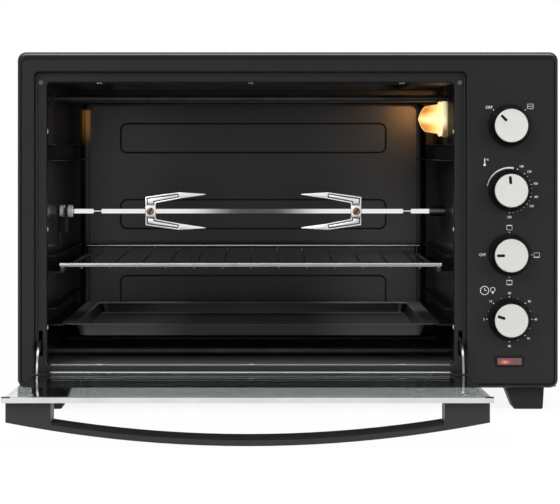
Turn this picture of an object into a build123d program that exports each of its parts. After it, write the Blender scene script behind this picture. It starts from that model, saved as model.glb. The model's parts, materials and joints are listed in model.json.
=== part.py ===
"""Counter-top rotisserie oven, standing with its drop-down glass door open.

+Z is up and the front of the oven faces -Y. The origin lies on the floor, below the middle
of the whole outline with the open door included. Sizes are in millimetres and degrees.
"""

import os
from math import cos, radians, sin

from build123d import *

os.makedirs("parts", exist_ok=True)

# Front panel and casing
opening_width = 429.0
opening_height = 297.5
left_border = 30.3
control_width = 108.7
top_border = 31.9
bottom_border = 23.4
case_depth = 442.0
frame_return = 14.0
frame_sheet = 1.2
frame_corner = 9.0
frame_edge = 5.0
wrap_sheet = 0.8
wrap_inset = 1.0
wrap_flange = 14.0
rear_sheet = 1.0
base_sheet = 1.0
base_flange = 12.0
vent_length = 36.0
vent_height = 4.0
vent_pitch_along = 46.0
vent_pitch_up = 11.0
side_vent_depth = 274.0
side_vent_drop = 70.0
rear_vent_pitch = 176.0
side_vent_columns = 4
side_vent_rows = 6
rear_vent_columns = 9
rear_vent_rows = 3
base_vent_columns = 4
base_vent_rows = 5
base_vent_pitch_along = 92.0
base_vent_pitch_up = 22.0

# Door pocket and the turned-in lip of the opening
pocket_depth = 9.0
pocket_side = 12.3
pocket_above = 10.9
pocket_below = 15.5
pocket_corner = 5.0
pocket_edge = 2.0
lip_depth = 9.0
lip_corner = 4.0
lip_edge = 2.0
buffer_radius = 2.7
buffer_round = 0.7

# Feet
foot_height = 23.6
foot_top_width = 41.3
foot_bottom_width = 30.5
foot_outer_slope = 1.3
foot_length = 40.0
foot_inset = 13.2
foot_setback = 16.0
foot_round = 2.0

# Screws and rivets
screw_radius = 1.8
screw_head_radius = 4.0
screw_head = 2.2
screw_length = 8.0
screw_clearance = 0.1
screw_recess_gap = 1.0
screw_bite = 2.0
side_screw_inset = 80.0
rear_screw_end = 40.0
rear_screw_top_pitch = 190.0
rivet_radius = 1.5
rivet_head_radius = 2.6
rivet_head = 0.9
rivet_pitch_across = 159.5
rivet_pitch_up = 103.3
rivet_side_drop = 5.9

# Oven space
cavity_depth = 405.0
liner_sheet = 0.8
liner_gap = 3.5
pan_depth = 30.0
pan_inset = 8.3
pan_round = 10.0
pan_corner = 18.0
back_panel_side = 52.0
back_panel_height = 35.5
back_panel_corner = 8.0
back_panel_press = 3.0
back_panel_pitch = 93.2
back_panel_drop = 57.5
roof_press = 8.0
roof_press_side = 40.0
roof_press_start = 110.0
roof_press_end_gap = 55.0
floor_press = 2.0
floor_press_side = 29.0
floor_press_start = 127.0
floor_press_end_gap = 35.0
press_corner = 24.0

# Runners
rail_sheet = 1.0
rail_shelf = 21.0
rail_guide = 12.0
rail_height = 17.0
rail_start = 24.0
rail_end_gap = 3.0
spare_rail_rise = 216.0
slide_gap = 0.3

# Heaters
element_radius = 3.25
element_depths = (137.0, 300.0)
element_roof_drop = 14.8
element_floor_rise = 5.5
element_tail = 18.0
insulator_flange_radius = 7.0
insulator_flange = 5.0
insulator_neck_radius = 5.0
insulator_clearance = 0.1

# Lamp
lamp_depth = 180.0
lamp_roof_drop = 37.2
lamp_ring_radius = 21.0
lamp_ring_sheet = 1.5
lamp_hole_radius = 13.0
lamp_flange_radius = 19.5
lamp_flange = 6.5
lamp_dome_radius = 17.0
lamp_length = 31.7
lamp_wall = 2.2
bulb_radius = 8.5
bulb_neck_radius = 6.0
bulb_neck = 6.0
bulb_length = 21.0
bulb_shoulder = 2.0
socket_length = 26.0
socket_flange_radius = 18.0
socket_flange = 2.0
socket_clearance = 0.3

# Spit, forks and drive
spit_depth = 180.0
spit_rise = 157.7
spit_size = 5.0
spit_stub_radius = 2.4
spit_neck_radius = 1.7
spit_neck = 8.9
spit_neck_from_bush = 23.5
spit_neck_from_socket = 20.6
spit_point = 3.0
spit_tip = 0.8
bush_wall_gap = 1.5
bush_length = 14.8
bush_radius = 6.95
bush_groove = 3.0
bush_groove_radius = 4.6
bush_round = 1.0
bush_fit = 0.05
support_sheet = 2.0
support_width = 20.0
support_drop = 22.0
support_flange = 15.0
support_fit = 0.08
socket_mouth = 18.1
socket_radius = 5.6
socket_engagement = 11.0
socket_bore_gap = 0.3
drive_shaft_radius = 4.0
drive_shaft_length = 16.0
drive_hole_clearance = 1.0
motor_radius = 25.0
motor_length = 22.0
motor_fit = 0.06
motor_ear = 66.0
motor_ear_height = 14.0
motor_ear_sheet = 2.0
left_fork_back = -120.0
right_fork_back = 123.5
fork_base = 11.8
fork_half_height = 16.0
fork_elbow = 38.0
fork_elbow_height = 21.3
fork_reach = 68.0
fork_tip_height = 18.8
fork_tine_width = 7.0
fork_plate = 3.0
fork_rim = 2.2
fork_press = 0.7
fork_hub = 13.0
fork_hub_clearance = 0.15
thumb_radius = 4.2
thumb_head = 6.0
thumb_stem_radius = 2.0
thumb_stem_fit = 0.08

# Wire rack
rack_side_gap = 12.5
rack_front = 20.0
rack_rear_gap = 27.0
rack_rise = 105.0
rack_rear_raise = 5.6
rack_bar_radius = 2.5
rack_wire_radius = 1.25
rack_wire_count = 13
rack_wire_margin = 23.2
rack_side_inset = 3.0
weld_sink = 0.4

# Baking tray
tray_side_gap = 13.5
tray_front = 18.0
tray_rear_gap = 24.0
tray_rim_rise = 42.8
tray_depth = 13.5
tray_sheet = 0.8
tray_flange = 14.0
tray_corner = 16.0
tray_inner_corner = 12.0
tray_taper = 22.0

# Door
open_tilt = 1.18
hinge_depth = 3.5
hinge_drop = 9.4
door_side_gap = 1.2
door_length = 315.0
door_heel = 3.0
glass_sheet = 4.0
glass_inner = 2.5
trim_sheet = 0.5
trim_web = 1.0
trim_leg = 7.0
trim_cap = 8.0
trim_cap_wall = 0.8
rail_leg = 5.0
rail_inner = 0.6
rail_outer = 0.6
bracket_width = 15.8
bracket_length = 40.0
bracket_wall = 1.0
bracket_side = 1.5
hinge_pin_radius = 2.0
hinge_pin_fit = 0.05
hinge_pin_reach = 1.5
arm_sheet = 2.0
arm_inner_radius = 26.0
arm_outer_radius = 36.0
arm_end_angle = 106.0
arm_side = 6.5
slot_width = 4.4
slot_corner = 2.0
slot_below = 18.6
slot_above = 45.9
spring_radius = 3.4
spring_length = 86.0
spring_arm_gap = 0.5
anchor_sheet = 2.0
anchor_height = 12.0

# Door handle
handle_side = 3.0
handle_post = 41.5
handle_width = 35.0
handle_end_depth = 19.4
handle_mid_depth = 41.0
handle_band = 8.0
handle_trim_gap = 3.0
handle_round = 1.5
handle_screw_depth = 13.0

# Controls
knob_edge_inset = 51.4
knob_top_drop = 77.4
knob_pitch = 67.7
knob_skirt_radius = 22.0
knob_skirt = 7.0
knob_step = 1.0
knob_round = 0.8
knob_face_radius = 18.4
knob_height = 21.0
knob_panel_gap = 1.0
knob_cap_radius = 17.3
knob_cap = 1.6
knob_cap_sink = 0.6
knob_cap_round = 0.5
shaft_radius = 3.0
shaft_fit = 0.05
shaft_panel_gap = 0.5
shaft_in_knob = 14.0
shaft_in_switch = 16.0
switch_width = 44.0
switch_height = 40.0
switch_depth = 26.0
thermostat_depth = 34.0
timer_size = 50.0
timer_depth = 40.0
indicator_width = 30.0
indicator_height = 11.0
indicator_bezel = 2.0
indicator_rim = 1.4
indicator_drop = 44.1
indicator_body_inset = 1.0
indicator_body_depth = 18.0
lens_depth = 6.0
lens_inset = 0.6
indicator_corner = 1.5

# Mains inlet
gland_radius = 7.5
gland_flange = 4.0
gland_neck_radius = 5.5
gland_bore_radius = 3.5
gland_side_inset = 60.0
gland_rise = 45.0

# Derived places
case_width = left_border + opening_width + control_width
case_left = -case_width / 2
case_right = case_width / 2
case_bottom = foot_height
open_left = case_left + left_border
open_right = open_left + opening_width
mid_x = (open_left + open_right) / 2
open_bottom = case_bottom + bottom_border
open_top = open_bottom + opening_height
open_mid_z = (open_bottom + open_top) / 2
case_top = open_top + top_border
case_height = case_top - case_bottom
door_reach = door_length * cos(radians(open_tilt)) - hinge_depth
front = (door_reach - case_depth - gland_flange) / 2

pocket_left = open_left - pocket_side
pocket_right = open_right + pocket_side
pocket_bottom = open_bottom - pocket_below
pocket_top = open_top + pocket_above
pocket_mid_z = (pocket_bottom + pocket_top) / 2
rivet_side_z = open_mid_z - rivet_side_drop

liner_left = open_left - liner_gap
liner_right = open_right + liner_gap
liner_bottom = open_bottom - frame_sheet
liner_top = open_top + frame_sheet
liner_start = pocket_depth + frame_sheet
pan_start = cavity_depth - pan_depth

hinge_z = open_bottom - hinge_drop
glass_outer = glass_inner - glass_sheet
spit_z = open_bottom + spit_rise
element_heights = (liner_top - element_roof_drop, liner_bottom + element_floor_rise)
knob_x = case_right - knob_edge_inset
knob_heights = [case_top - knob_top_drop - i * knob_pitch for i in range(4)]
rack_z = open_bottom + rack_rise
rack_side_z = rack_z - 2 * rack_bar_radius + weld_sink
tray_rim_z = open_bottom + tray_rim_rise
shelf_heights = (
    tray_rim_z - tray_sheet - slide_gap,
    rack_side_z - rack_bar_radius - slide_gap,
    open_bottom + spare_rail_rise,
)
wrap_width = case_width - 2 * wrap_inset
wrap_height = case_height - wrap_inset
wrap_end = case_depth - rear_sheet
wrap_corner = frame_corner - wrap_inset
screw_hole = screw_radius + screw_clearance
arm_offset = opening_width / 2 + arm_side
spring_offset = arm_sheet / 2 + spring_radius + slide_gap
back_panel_width = opening_width - 2 * back_panel_side
roof_press_width = opening_width - 2 * roof_press_side
roof_press_length = cavity_depth - roof_press_start - roof_press_end_gap
floor_press_width = opening_width - 2 * floor_press_side
floor_press_length = cavity_depth - floor_press_start - floor_press_end_gap
rack_width = opening_width - 2 * rack_side_gap
rack_wire_pitch = (rack_width - 2 * rack_wire_margin) / (rack_wire_count - 1)
tray_width = opening_width - 2 * tray_side_gap
handle_half = opening_width / 2 + pocket_side - door_side_gap - handle_side

up = Vector(0, sin(radians(open_tilt)), cos(radians(open_tilt)))
outward = Vector(0, -cos(radians(open_tilt)), sin(radians(open_tilt)))
hinge_point = Vector(0, front + hinge_depth, hinge_z)
door_plane = Plane(origin=hinge_point, x_dir=(1, 0, 0), z_dir=up)


def deep(depth):
    """Return the y of a place that lies this far behind the front face."""
    return front + depth


def facing(x, depth, z):
    """Return a plane that looks out of the front of the oven."""
    return Plane(origin=(x, deep(depth), z), x_dir=(1, 0, 0), z_dir=(0, -1, 0))


def sideways(x, y, z):
    """Return a plane whose normal is +X, with local x along +Y and local y up."""
    return Plane(origin=(x, y, z), x_dir=(0, 1, 0), z_dir=(1, 0, 0))


def across_door(x, reach, height):
    """Return a plane that cuts the open door across: local x to the right, local y up."""
    origin = hinge_point + Vector(x, 0, 0) + outward * reach + up * height
    return Plane(origin=origin, x_dir=(1, 0, 0), z_dir=outward)


def along_door(x):
    """Return a plane that cuts the open door lengthwise: local x outward, local y up."""
    return Plane(origin=hinge_point + Vector(x, 0, 0), x_dir=outward, z_dir=(-1, 0, 0))


def block(x0, x1, y0, y1, z0, z1, mode=Mode.ADD):
    """Place a box between two corners."""
    with Locations(((x0 + x1) / 2, (y0 + y1) / 2, (z0 + z1) / 2)):
        Box(x1 - x0, y1 - y0, z1 - z0, mode=mode)


def rod_x(x0, x1, y, z, radius, mode=Mode.ADD):
    """Place a round rod along X."""
    with Locations(Location(((x0 + x1) / 2, y, z), (0, 90, 0))):
        Cylinder(radius, x1 - x0, mode=mode)


def rod_y(x, y0, y1, z, radius, mode=Mode.ADD):
    """Place a round rod along Y."""
    with Locations(Location((x, (y0 + y1) / 2, z), (90, 0, 0))):
        Cylinder(radius, y1 - y0, mode=mode)


def rod_z(x, y, z0, z1, radius, mode=Mode.ADD):
    """Place a round rod along Z."""
    with Locations((x, y, (z0 + z1) / 2)):
        Cylinder(radius, z1 - z0, mode=mode)


def rounded(plane, width, height, corner, depth, mode=Mode.ADD):
    """Extrude a rounded rectangle from a plane, into the side that it turns its back on."""
    with BuildSketch(plane) as outline:
        RectangleRounded(width, height, corner)
    extrude(outline.sketch, amount=-depth, mode=mode)


def keep(builder, label):
    """Label a finished piece and write it out."""
    builder.part.label = label
    export_step(builder.part, f"parts/{label}.step")


# Front panel
with BuildPart() as front_frame:
    block(case_left, case_right, front, deep(frame_return), case_bottom, case_top)
    fillet(front_frame.edges().filter_by(Axis.Y), frame_corner)
    fillet(front_frame.faces().sort_by(Axis.Y)[0].edges(), frame_edge)
    offset(amount=-frame_sheet, openings=front_frame.faces().sort_by(Axis.Y)[-1])
    pocket_width = pocket_right - pocket_left
    pocket_height = pocket_top - pocket_bottom
    rounded(
        facing(mid_x, 0, pocket_mid_z),
        pocket_width + 2 * frame_sheet,
        pocket_height + 2 * frame_sheet,
        pocket_corner + frame_sheet,
        pocket_depth + frame_sheet,
    )
    rounded(
        facing(mid_x, 0, pocket_mid_z),
        pocket_width,
        pocket_height,
        pocket_corner,
        pocket_depth,
        Mode.SUBTRACT,
    )
    fillet(front_frame.faces().sort_by(Axis.Y)[0].inner_wires().edges(), pocket_edge)
    rounded(
        facing(mid_x, pocket_depth, open_mid_z),
        opening_width + 2 * frame_sheet,
        opening_height + 2 * frame_sheet,
        lip_corner + frame_sheet,
        lip_depth,
    )
    rounded(
        facing(mid_x, pocket_depth, open_mid_z),
        opening_width,
        opening_height,
        lip_corner,
        lip_depth,
        Mode.SUBTRACT,
    )
    lip_rim = front_frame.edges().filter_by_position(Axis.Y, deep(pocket_depth), deep(pocket_depth))
    fillet(lip_rim.filter_by(lambda e: open_left - 1 < e.center().X < open_right + 1), lip_edge)
    slot_mid = hinge_z + (slot_below + slot_above) / 2
    for side in (-1, 1):
        rounded(
            facing(mid_x + side * arm_offset, pocket_depth, slot_mid),
            slot_width,
            slot_above - slot_below,
            slot_corner,
            frame_sheet,
            Mode.SUBTRACT,
        )
    for wall_start in (pocket_left - frame_sheet, pocket_right):
        rod_x(
            wall_start - hinge_pin_reach,
            wall_start + frame_sheet + hinge_pin_reach,
            hinge_point.Y,
            hinge_z,
            hinge_pin_radius + hinge_pin_fit,
            Mode.SUBTRACT,
        )
    for z in knob_heights:
        rod_y(knob_x, front, deep(frame_sheet), z, shaft_radius + shaft_panel_gap, Mode.SUBTRACT)
    window_z = knob_heights[3] - indicator_drop
    block(
        knob_x - indicator_width / 2 + indicator_body_inset,
        knob_x + indicator_width / 2 - indicator_body_inset,
        front,
        deep(frame_sheet),
        window_z - indicator_height / 2 + indicator_body_inset,
        window_z + indicator_height / 2 - indicator_body_inset,
        Mode.SUBTRACT,
    )
    rivet_y = deep(pocket_depth + (frame_sheet + lip_depth) / 2)
    rivet_hole = rivet_radius + screw_clearance
    for step in (-1, 0, 1):
        z = rivet_side_z + step * rivet_pitch_up
        rod_x(open_left - frame_sheet, open_left, rivet_y, z, rivet_hole, Mode.SUBTRACT)
        rod_x(open_right, open_right + frame_sheet, rivet_y, z, rivet_hole, Mode.SUBTRACT)
        x = mid_x + step * rivet_pitch_across
        rod_z(x, rivet_y, open_bottom - frame_sheet, open_bottom, rivet_hole, Mode.SUBTRACT)
        rod_z(x, rivet_y, open_top, open_top + frame_sheet, rivet_hole, Mode.SUBTRACT)
keep(front_frame, "front_frame")

# Outer casing: top and both sides in one bent sheet, with a narrow flange at the rear
side_screw_depths = (side_screw_inset, case_depth - side_screw_inset)
side_screw_z = case_bottom + base_sheet + base_flange / 2
rear_screw_inset = wrap_inset + wrap_flange / 2
rear_screw_places = []
for step in (0, 1, 2):
    z = case_bottom + rear_screw_end + step * (case_height - 2 * rear_screw_end) / 2
    rear_screw_places.append((case_left + rear_screw_inset, z))
    rear_screw_places.append((case_right - rear_screw_inset, z))
for step in (-1, 1):
    rear_screw_places.append((step * rear_screw_top_pitch / 2, case_top - rear_screw_inset))

with BuildPart() as outer_wrap:
    with BuildSketch(facing(0, frame_return, case_bottom)):
        RectangleRounded(wrap_width, 2 * wrap_height, wrap_corner)
        RectangleRounded(
            wrap_width - 2 * wrap_sheet,
            2 * (wrap_height - wrap_sheet),
            wrap_corner - wrap_sheet,
            mode=Mode.SUBTRACT,
        )
        with Locations((0, -wrap_height / 2)):
            Rectangle(wrap_width, wrap_height, mode=Mode.SUBTRACT)
    extrude(amount=-(wrap_end - frame_return))
    with BuildSketch(facing(0, wrap_end - wrap_sheet, case_bottom)):
        RectangleRounded(wrap_width, 2 * wrap_height, wrap_corner)
        Rectangle(wrap_width - 2 * wrap_flange, 2 * (wrap_height - wrap_flange), mode=Mode.SUBTRACT)
        with Locations((0, -wrap_height / 2)):
            Rectangle(wrap_width, wrap_height, mode=Mode.SUBTRACT)
    extrude(amount=-wrap_sheet)
    with BuildSketch(sideways(0, deep(side_vent_depth), case_top - side_vent_drop)):
        with GridLocations(vent_pitch_along, vent_pitch_up, side_vent_columns, side_vent_rows):
            SlotOverall(vent_length, vent_height)
    extrude(amount=case_width, both=True, mode=Mode.SUBTRACT)
    for depth in side_screw_depths:
        rod_x(case_left, case_right, deep(depth), side_screw_z, screw_hole, Mode.SUBTRACT)
    for x, z in rear_screw_places:
        rod_y(x, deep(wrap_end - wrap_sheet), deep(wrap_end), z, screw_hole, Mode.SUBTRACT)
keep(outer_wrap, "outer_wrap")

# Rear cover
gland_x = case_right - gland_side_inset
gland_z = case_bottom + gland_rise
with BuildPart() as rear_cover:
    with BuildSketch(facing(0, wrap_end, case_bottom)):
        RectangleRounded(wrap_width, 2 * wrap_height, wrap_corner)
        with Locations((0, -wrap_height / 2)):
            Rectangle(wrap_width, wrap_height, mode=Mode.SUBTRACT)
    extrude(amount=-rear_sheet)
    with BuildSketch(facing(0, wrap_end, case_bottom + case_height / 2)):
        with GridLocations(vent_pitch_along, rear_vent_pitch, rear_vent_columns, 2):
            with GridLocations(vent_pitch_along, vent_pitch_up, 1, rear_vent_rows):
                SlotOverall(vent_length, vent_height)
    extrude(amount=-rear_sheet, mode=Mode.SUBTRACT)
    for x, z in rear_screw_places:
        rod_y(x, deep(wrap_end), deep(case_depth), z, screw_hole, Mode.SUBTRACT)
    rod_y(gland_x, deep(wrap_end), deep(case_depth), gland_z, gland_neck_radius, Mode.SUBTRACT)
keep(rear_cover, "rear_cover")

# Base plate with turned-up sides
foot_mid_x = case_right - foot_inset - foot_outer_slope - foot_bottom_width / 2
foot_depths = (foot_setback + foot_length / 2, case_depth - foot_setback - foot_length / 2)
foot_places = [(side * foot_mid_x, depth) for side in (-1, 1) for depth in foot_depths]
with BuildPart() as base_plate:
    base_half = wrap_width / 2 - wrap_sheet
    base_end = deep(wrap_end - wrap_sheet)
    block(-base_half, base_half, deep(frame_return), base_end, case_bottom, case_bottom + base_sheet)
    for side in (-1, 1):
        inner, outer = sorted((side * base_half, side * (base_half - base_sheet)))
        block(inner, outer, deep(frame_return), base_end, case_bottom, case_bottom + base_flange)
    with BuildSketch(Plane.XY.offset(case_bottom)):
        with Locations((0, deep(case_depth / 2))):
            with GridLocations(base_vent_pitch_along, base_vent_pitch_up, base_vent_columns, base_vent_rows):
                SlotOverall(vent_length, vent_height)
    extrude(amount=base_sheet, mode=Mode.SUBTRACT)
    for depth in side_screw_depths:
        rod_x(case_left, case_right, deep(depth), side_screw_z, screw_hole, Mode.SUBTRACT)
    for x, depth in foot_places:
        rod_z(
            x,
            deep(depth),
            case_bottom,
            case_bottom + base_sheet,
            screw_hole,
            Mode.SUBTRACT,
        )
keep(base_plate, "base_plate")

# Feet, with a sloping inner side and a screw from below
foot_screw_seat = foot_height - screw_length + screw_bite
with BuildPart() as feet:
    for x, depth in foot_places:
        side = 1 if x > 0 else -1
        outer = foot_bottom_width / 2
        with BuildSketch(facing(x, depth - foot_length / 2, 0)):
            with BuildLine():
                Polyline(
                    (side * outer, 0),
                    (side * (outer + foot_outer_slope), foot_height),
                    (side * (outer + foot_outer_slope - foot_top_width), foot_height),
                    (-side * outer, 0),
                    close=True,
                )
            make_face()
        extrude(amount=-foot_length)
    fillet(feet.edges().filter_by(Axis.Y).group_by(Axis.Z)[0], foot_round)
    for x, depth in foot_places:
        rod_z(x, deep(depth), 0, foot_height, screw_hole, Mode.SUBTRACT)
        rod_z(x, deep(depth), 0, foot_screw_seat, screw_head_radius + screw_recess_gap, Mode.SUBTRACT)
keep(feet, "feet")

# Screws of the casing, the rear cover and the feet
with BuildPart() as case_screws:
    for depth in side_screw_depths:
        for side in (-1, 1):
            face = side * wrap_width / 2
            inner, outer = sorted((face, face - side * screw_length))
            rod_x(inner, outer, deep(depth), side_screw_z, screw_radius)
            inner, outer = sorted((face, face + side * screw_head))
            rod_x(inner, outer, deep(depth), side_screw_z, screw_head_radius)
    for x, z in rear_screw_places:
        rod_y(x, deep(case_depth - screw_length), deep(case_depth), z, screw_radius)
        rod_y(x, deep(case_depth), deep(case_depth + screw_head), z, screw_head_radius)
    for x, depth in foot_places:
        rod_z(x, deep(depth), foot_screw_seat, foot_screw_seat + screw_length, screw_radius)
        rod_z(x, deep(depth), foot_screw_seat - screw_head, foot_screw_seat, screw_head_radius)
keep(case_screws, "case_screws")

# Mains cord gland
with BuildPart() as cord_gland:
    rod_y(gland_x, deep(case_depth), deep(case_depth + gland_flange), gland_z, gland_radius)
    rod_y(gland_x, deep(wrap_end), deep(case_depth), gland_z, gland_neck_radius)
    rod_y(gland_x, deep(wrap_end - gland_flange), deep(wrap_end), gland_z, gland_radius)
    rod_y(
        gland_x,
        deep(wrap_end - gland_flange),
        deep(case_depth + gland_flange),
        gland_z,
        gland_bore_radius,
        Mode.SUBTRACT,
    )
keep(cord_gland, "cord_gland")


def side_liner(side):
    """Add one upright side wall of the oven space, with its spring tab and its holes."""
    inner = liner_left if side < 0 else liner_right
    outer = inner + side * liner_sheet
    low, high = sorted((inner, outer))
    wall_bottom = liner_bottom - liner_sheet
    wall_top = liner_top + liner_sheet
    block(low, high, deep(liner_start), deep(cavity_depth), wall_bottom, wall_top)
    tab_tip = mid_x + side * (arm_offset + spring_offset + spring_radius)
    tab_low, tab_high = sorted((outer, tab_tip))
    anchor_y = spring_start + spring_length
    block(
        tab_low,
        tab_high,
        anchor_y,
        anchor_y + anchor_sheet,
        spring_z - anchor_height / 2,
        spring_z + anchor_height / 2,
    )
    for z in element_heights:
        for depth in element_depths:
            rod_x(low, high, deep(depth), z, insulator_neck_radius, Mode.SUBTRACT)
    for step in (-1, 0, 1):
        z = rivet_side_z + step * rivet_pitch_up
        rod_x(low, high, rivet_y, z, rivet_hole, Mode.SUBTRACT)


# Side walls of the oven space
arm_middle = (arm_inner_radius + arm_outer_radius) / 2
arm_tail = arm_outer_radius * cos(radians(arm_end_angle))
spring_start = hinge_point.Y - arm_tail + spring_arm_gap
spring_z = hinge_z + arm_middle * sin(radians(arm_end_angle))
lamp_z = liner_top - lamp_roof_drop
with BuildPart() as liner_left_wall:
    side_liner(-1)
keep(liner_left_wall, "liner_left_wall")

with BuildPart() as liner_right_wall:
    side_liner(1)
    right_outer = liner_right + liner_sheet
    rod_x(liner_right, right_outer, deep(lamp_depth), lamp_z, lamp_hole_radius, Mode.SUBTRACT)
    drive_hole = drive_shaft_radius + drive_hole_clearance
    rod_x(liner_right, right_outer, deep(spit_depth), spit_z, drive_hole, Mode.SUBTRACT)
keep(liner_right_wall, "liner_right_wall")

# Roof and floor, each with a shallow pressed panel
with BuildPart() as liner_roof:
    roof_outer = liner_top + liner_sheet
    block(liner_left, liner_right, deep(liner_start), deep(cavity_depth), liner_top, roof_outer)
    press_y = deep(roof_press_start + roof_press_length / 2)
    rounded(
        Plane(origin=(mid_x, press_y, roof_outer + roof_press)),
        roof_press_width + 2 * liner_sheet,
        roof_press_length + 2 * liner_sheet,
        press_corner + liner_sheet,
        roof_press,
    )
    rounded(
        Plane(origin=(mid_x, press_y, liner_top + roof_press)),
        roof_press_width,
        roof_press_length,
        press_corner,
        roof_press,
        Mode.SUBTRACT,
    )
    for step in (-1, 0, 1):
        x = mid_x + step * rivet_pitch_across
        rod_z(x, rivet_y, liner_top, roof_outer, rivet_hole, Mode.SUBTRACT)
keep(liner_roof, "liner_roof")

with BuildPart() as liner_floor:
    floor_outer = liner_bottom - liner_sheet
    block(liner_left, liner_right, deep(liner_start), deep(cavity_depth), floor_outer, liner_bottom)
    press_y = deep(floor_press_start + floor_press_length / 2)
    rounded(
        Plane(origin=(mid_x, press_y, floor_outer)),
        floor_press_width + 2 * liner_sheet,
        floor_press_length + 2 * liner_sheet,
        press_corner + liner_sheet,
        floor_press,
    )
    rounded(
        Plane(origin=(mid_x, press_y, liner_bottom)),
        floor_press_width,
        floor_press_length,
        press_corner,
        floor_press,
        Mode.SUBTRACT,
    )
    for step in (-1, 0, 1):
        x = mid_x + step * rivet_pitch_across
        rod_z(x, rivet_y, floor_outer, liner_bottom, rivet_hole, Mode.SUBTRACT)
keep(liner_floor, "liner_floor")


def pan_form(grow):
    """Add the rounded form of the back pan, grown on all sides but the front."""
    block(
        liner_left + pan_inset - grow,
        liner_right - pan_inset + grow,
        deep(pan_start),
        deep(cavity_depth) + grow,
        liner_bottom + pan_inset - grow,
        liner_top - pan_inset + grow,
    )


# Back of the oven space: a rounded pan with a flange and three pressed panels
with BuildPart() as pan_space:
    pan_form(0)
    fillet(pan_space.edges().filter_by(Axis.Y), pan_corner)
    fillet(pan_space.faces().sort_by(Axis.Y)[-1].edges(), pan_round)

with BuildPart() as liner_back:
    pan_form(liner_sheet)
    fillet(liner_back.edges().filter_by(Axis.Y), pan_corner + liner_sheet)
    fillet(liner_back.faces().sort_by(Axis.Y)[-1].edges(), pan_round + liner_sheet)
    block(liner_left, liner_right, deep(pan_start), deep(pan_start) + liner_sheet, liner_bottom, liner_top)
    add(pan_space.part, mode=Mode.SUBTRACT)
    for step in range(3):
        z = liner_top - back_panel_drop - step * back_panel_pitch
        rounded(
            facing(mid_x, cavity_depth, z),
            back_panel_width + 2 * liner_sheet,
            back_panel_height + 2 * liner_sheet,
            back_panel_corner + liner_sheet,
            back_panel_press + liner_sheet,
        )
        rounded(
            facing(mid_x, cavity_depth, z),
            back_panel_width,
            back_panel_height,
            back_panel_corner,
            back_panel_press,
            Mode.SUBTRACT,
        )
keep(liner_back, "liner_back")

# Runners: channels on both side walls, a shelf below and a guide above
with BuildPart() as shelf_rails:
    rail_y0 = deep(rail_start)
    rail_y1 = deep(pan_start - rail_end_gap)
    for side, wall in ((1, liner_left), (-1, liner_right)):
        for z in shelf_heights:
            low, high = sorted((wall, wall + side * rail_shelf))
            block(low, high, rail_y0, rail_y1, z - rail_sheet, z)
            low, high = sorted((wall, wall + side * rail_sheet))
            block(low, high, rail_y0, rail_y1, z - rail_sheet, z + rail_height)
            low, high = sorted((wall, wall + side * rail_guide))
            block(low, high, rail_y0, rail_y1, z + rail_height - rail_sheet, z + rail_height)
keep(shelf_rails, "shelf_rails")

# Rivets between the lip and the sheets of the oven space
with BuildPart() as frame_rivets:
    for step in (-1, 0, 1):
        z = rivet_side_z + step * rivet_pitch_up
        left_tail = liner_left - liner_sheet
        rod_x(left_tail, open_left, rivet_y, z, rivet_radius)
        rod_x(left_tail - rivet_head, left_tail, rivet_y, z, rivet_head_radius)
        rod_x(open_left, open_left + rivet_head, rivet_y, z, rivet_head_radius)
        right_tail = liner_right + liner_sheet
        rod_x(open_right, right_tail, rivet_y, z, rivet_radius)
        rod_x(right_tail, right_tail + rivet_head, rivet_y, z, rivet_head_radius)
        rod_x(open_right - rivet_head, open_right, rivet_y, z, rivet_head_radius)
        x = mid_x + step * rivet_pitch_across
        rod_z(x, rivet_y, floor_outer, open_bottom, rivet_radius)
        rod_z(x, rivet_y, floor_outer - rivet_head, floor_outer, rivet_head_radius)
        rod_z(x, rivet_y, open_bottom, open_bottom + rivet_head, rivet_head_radius)
        rod_z(x, rivet_y, open_top, roof_outer, rivet_radius)
        rod_z(x, rivet_y, roof_outer, roof_outer + rivet_head, rivet_head_radius)
        rod_z(x, rivet_y, open_top - rivet_head, open_top, rivet_head_radius)
keep(frame_rivets, "frame_rivets")

# Door buffers on the upper corners of the pocket
buffer_height = pocket_depth - hinge_depth - glass_inner - trim_cap_wall - slide_gap
with BuildPart() as door_buffers:
    for x in (open_left - pocket_side / 2, open_right + pocket_side / 2):
        rod_y(x, deep(pocket_depth - buffer_height), deep(pocket_depth), open_top, buffer_radius)
    fillet(door_buffers.faces().filter_by(Axis.Y).group_by(Axis.Y)[0].edges(), buffer_round)
keep(door_buffers, "door_buffers")

# Tube heaters and their ceramic insulators
element_ends = (liner_left - liner_sheet - element_tail, liner_right + liner_sheet + element_tail)
for label, z in zip(("upper_elements", "lower_elements"), element_heights):
    with BuildPart() as elements:
        for depth in element_depths:
            rod_x(element_ends[0], element_ends[1], deep(depth), z, element_radius)
    keep(elements, label)

with BuildPart() as element_insulators:
    for z in element_heights:
        for depth in element_depths:
            for wall, side in ((liner_left, -1), (liner_right, 1)):
                outer = wall + side * liner_sheet
                low, high = sorted((wall, outer))
                rod_x(low, high, deep(depth), z, insulator_neck_radius)
                low, high = sorted((outer, outer + side * insulator_flange))
                rod_x(low, high, deep(depth), z, insulator_flange_radius)
            rod_x(
                element_ends[0],
                element_ends[1],
                deep(depth),
                z,
                element_radius + insulator_clearance,
                Mode.SUBTRACT,
            )
keep(element_insulators, "element_insulators")

# Oven lamp: everything turned about one axis that points into the oven space
lamp_plane = Plane(origin=(liner_right, deep(lamp_depth), lamp_z), x_dir=(-1, 0, 0), z_dir=(0, -1, 0))
lamp_axis = Axis((liner_right, deep(lamp_depth), lamp_z), (-1, 0, 0))

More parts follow.
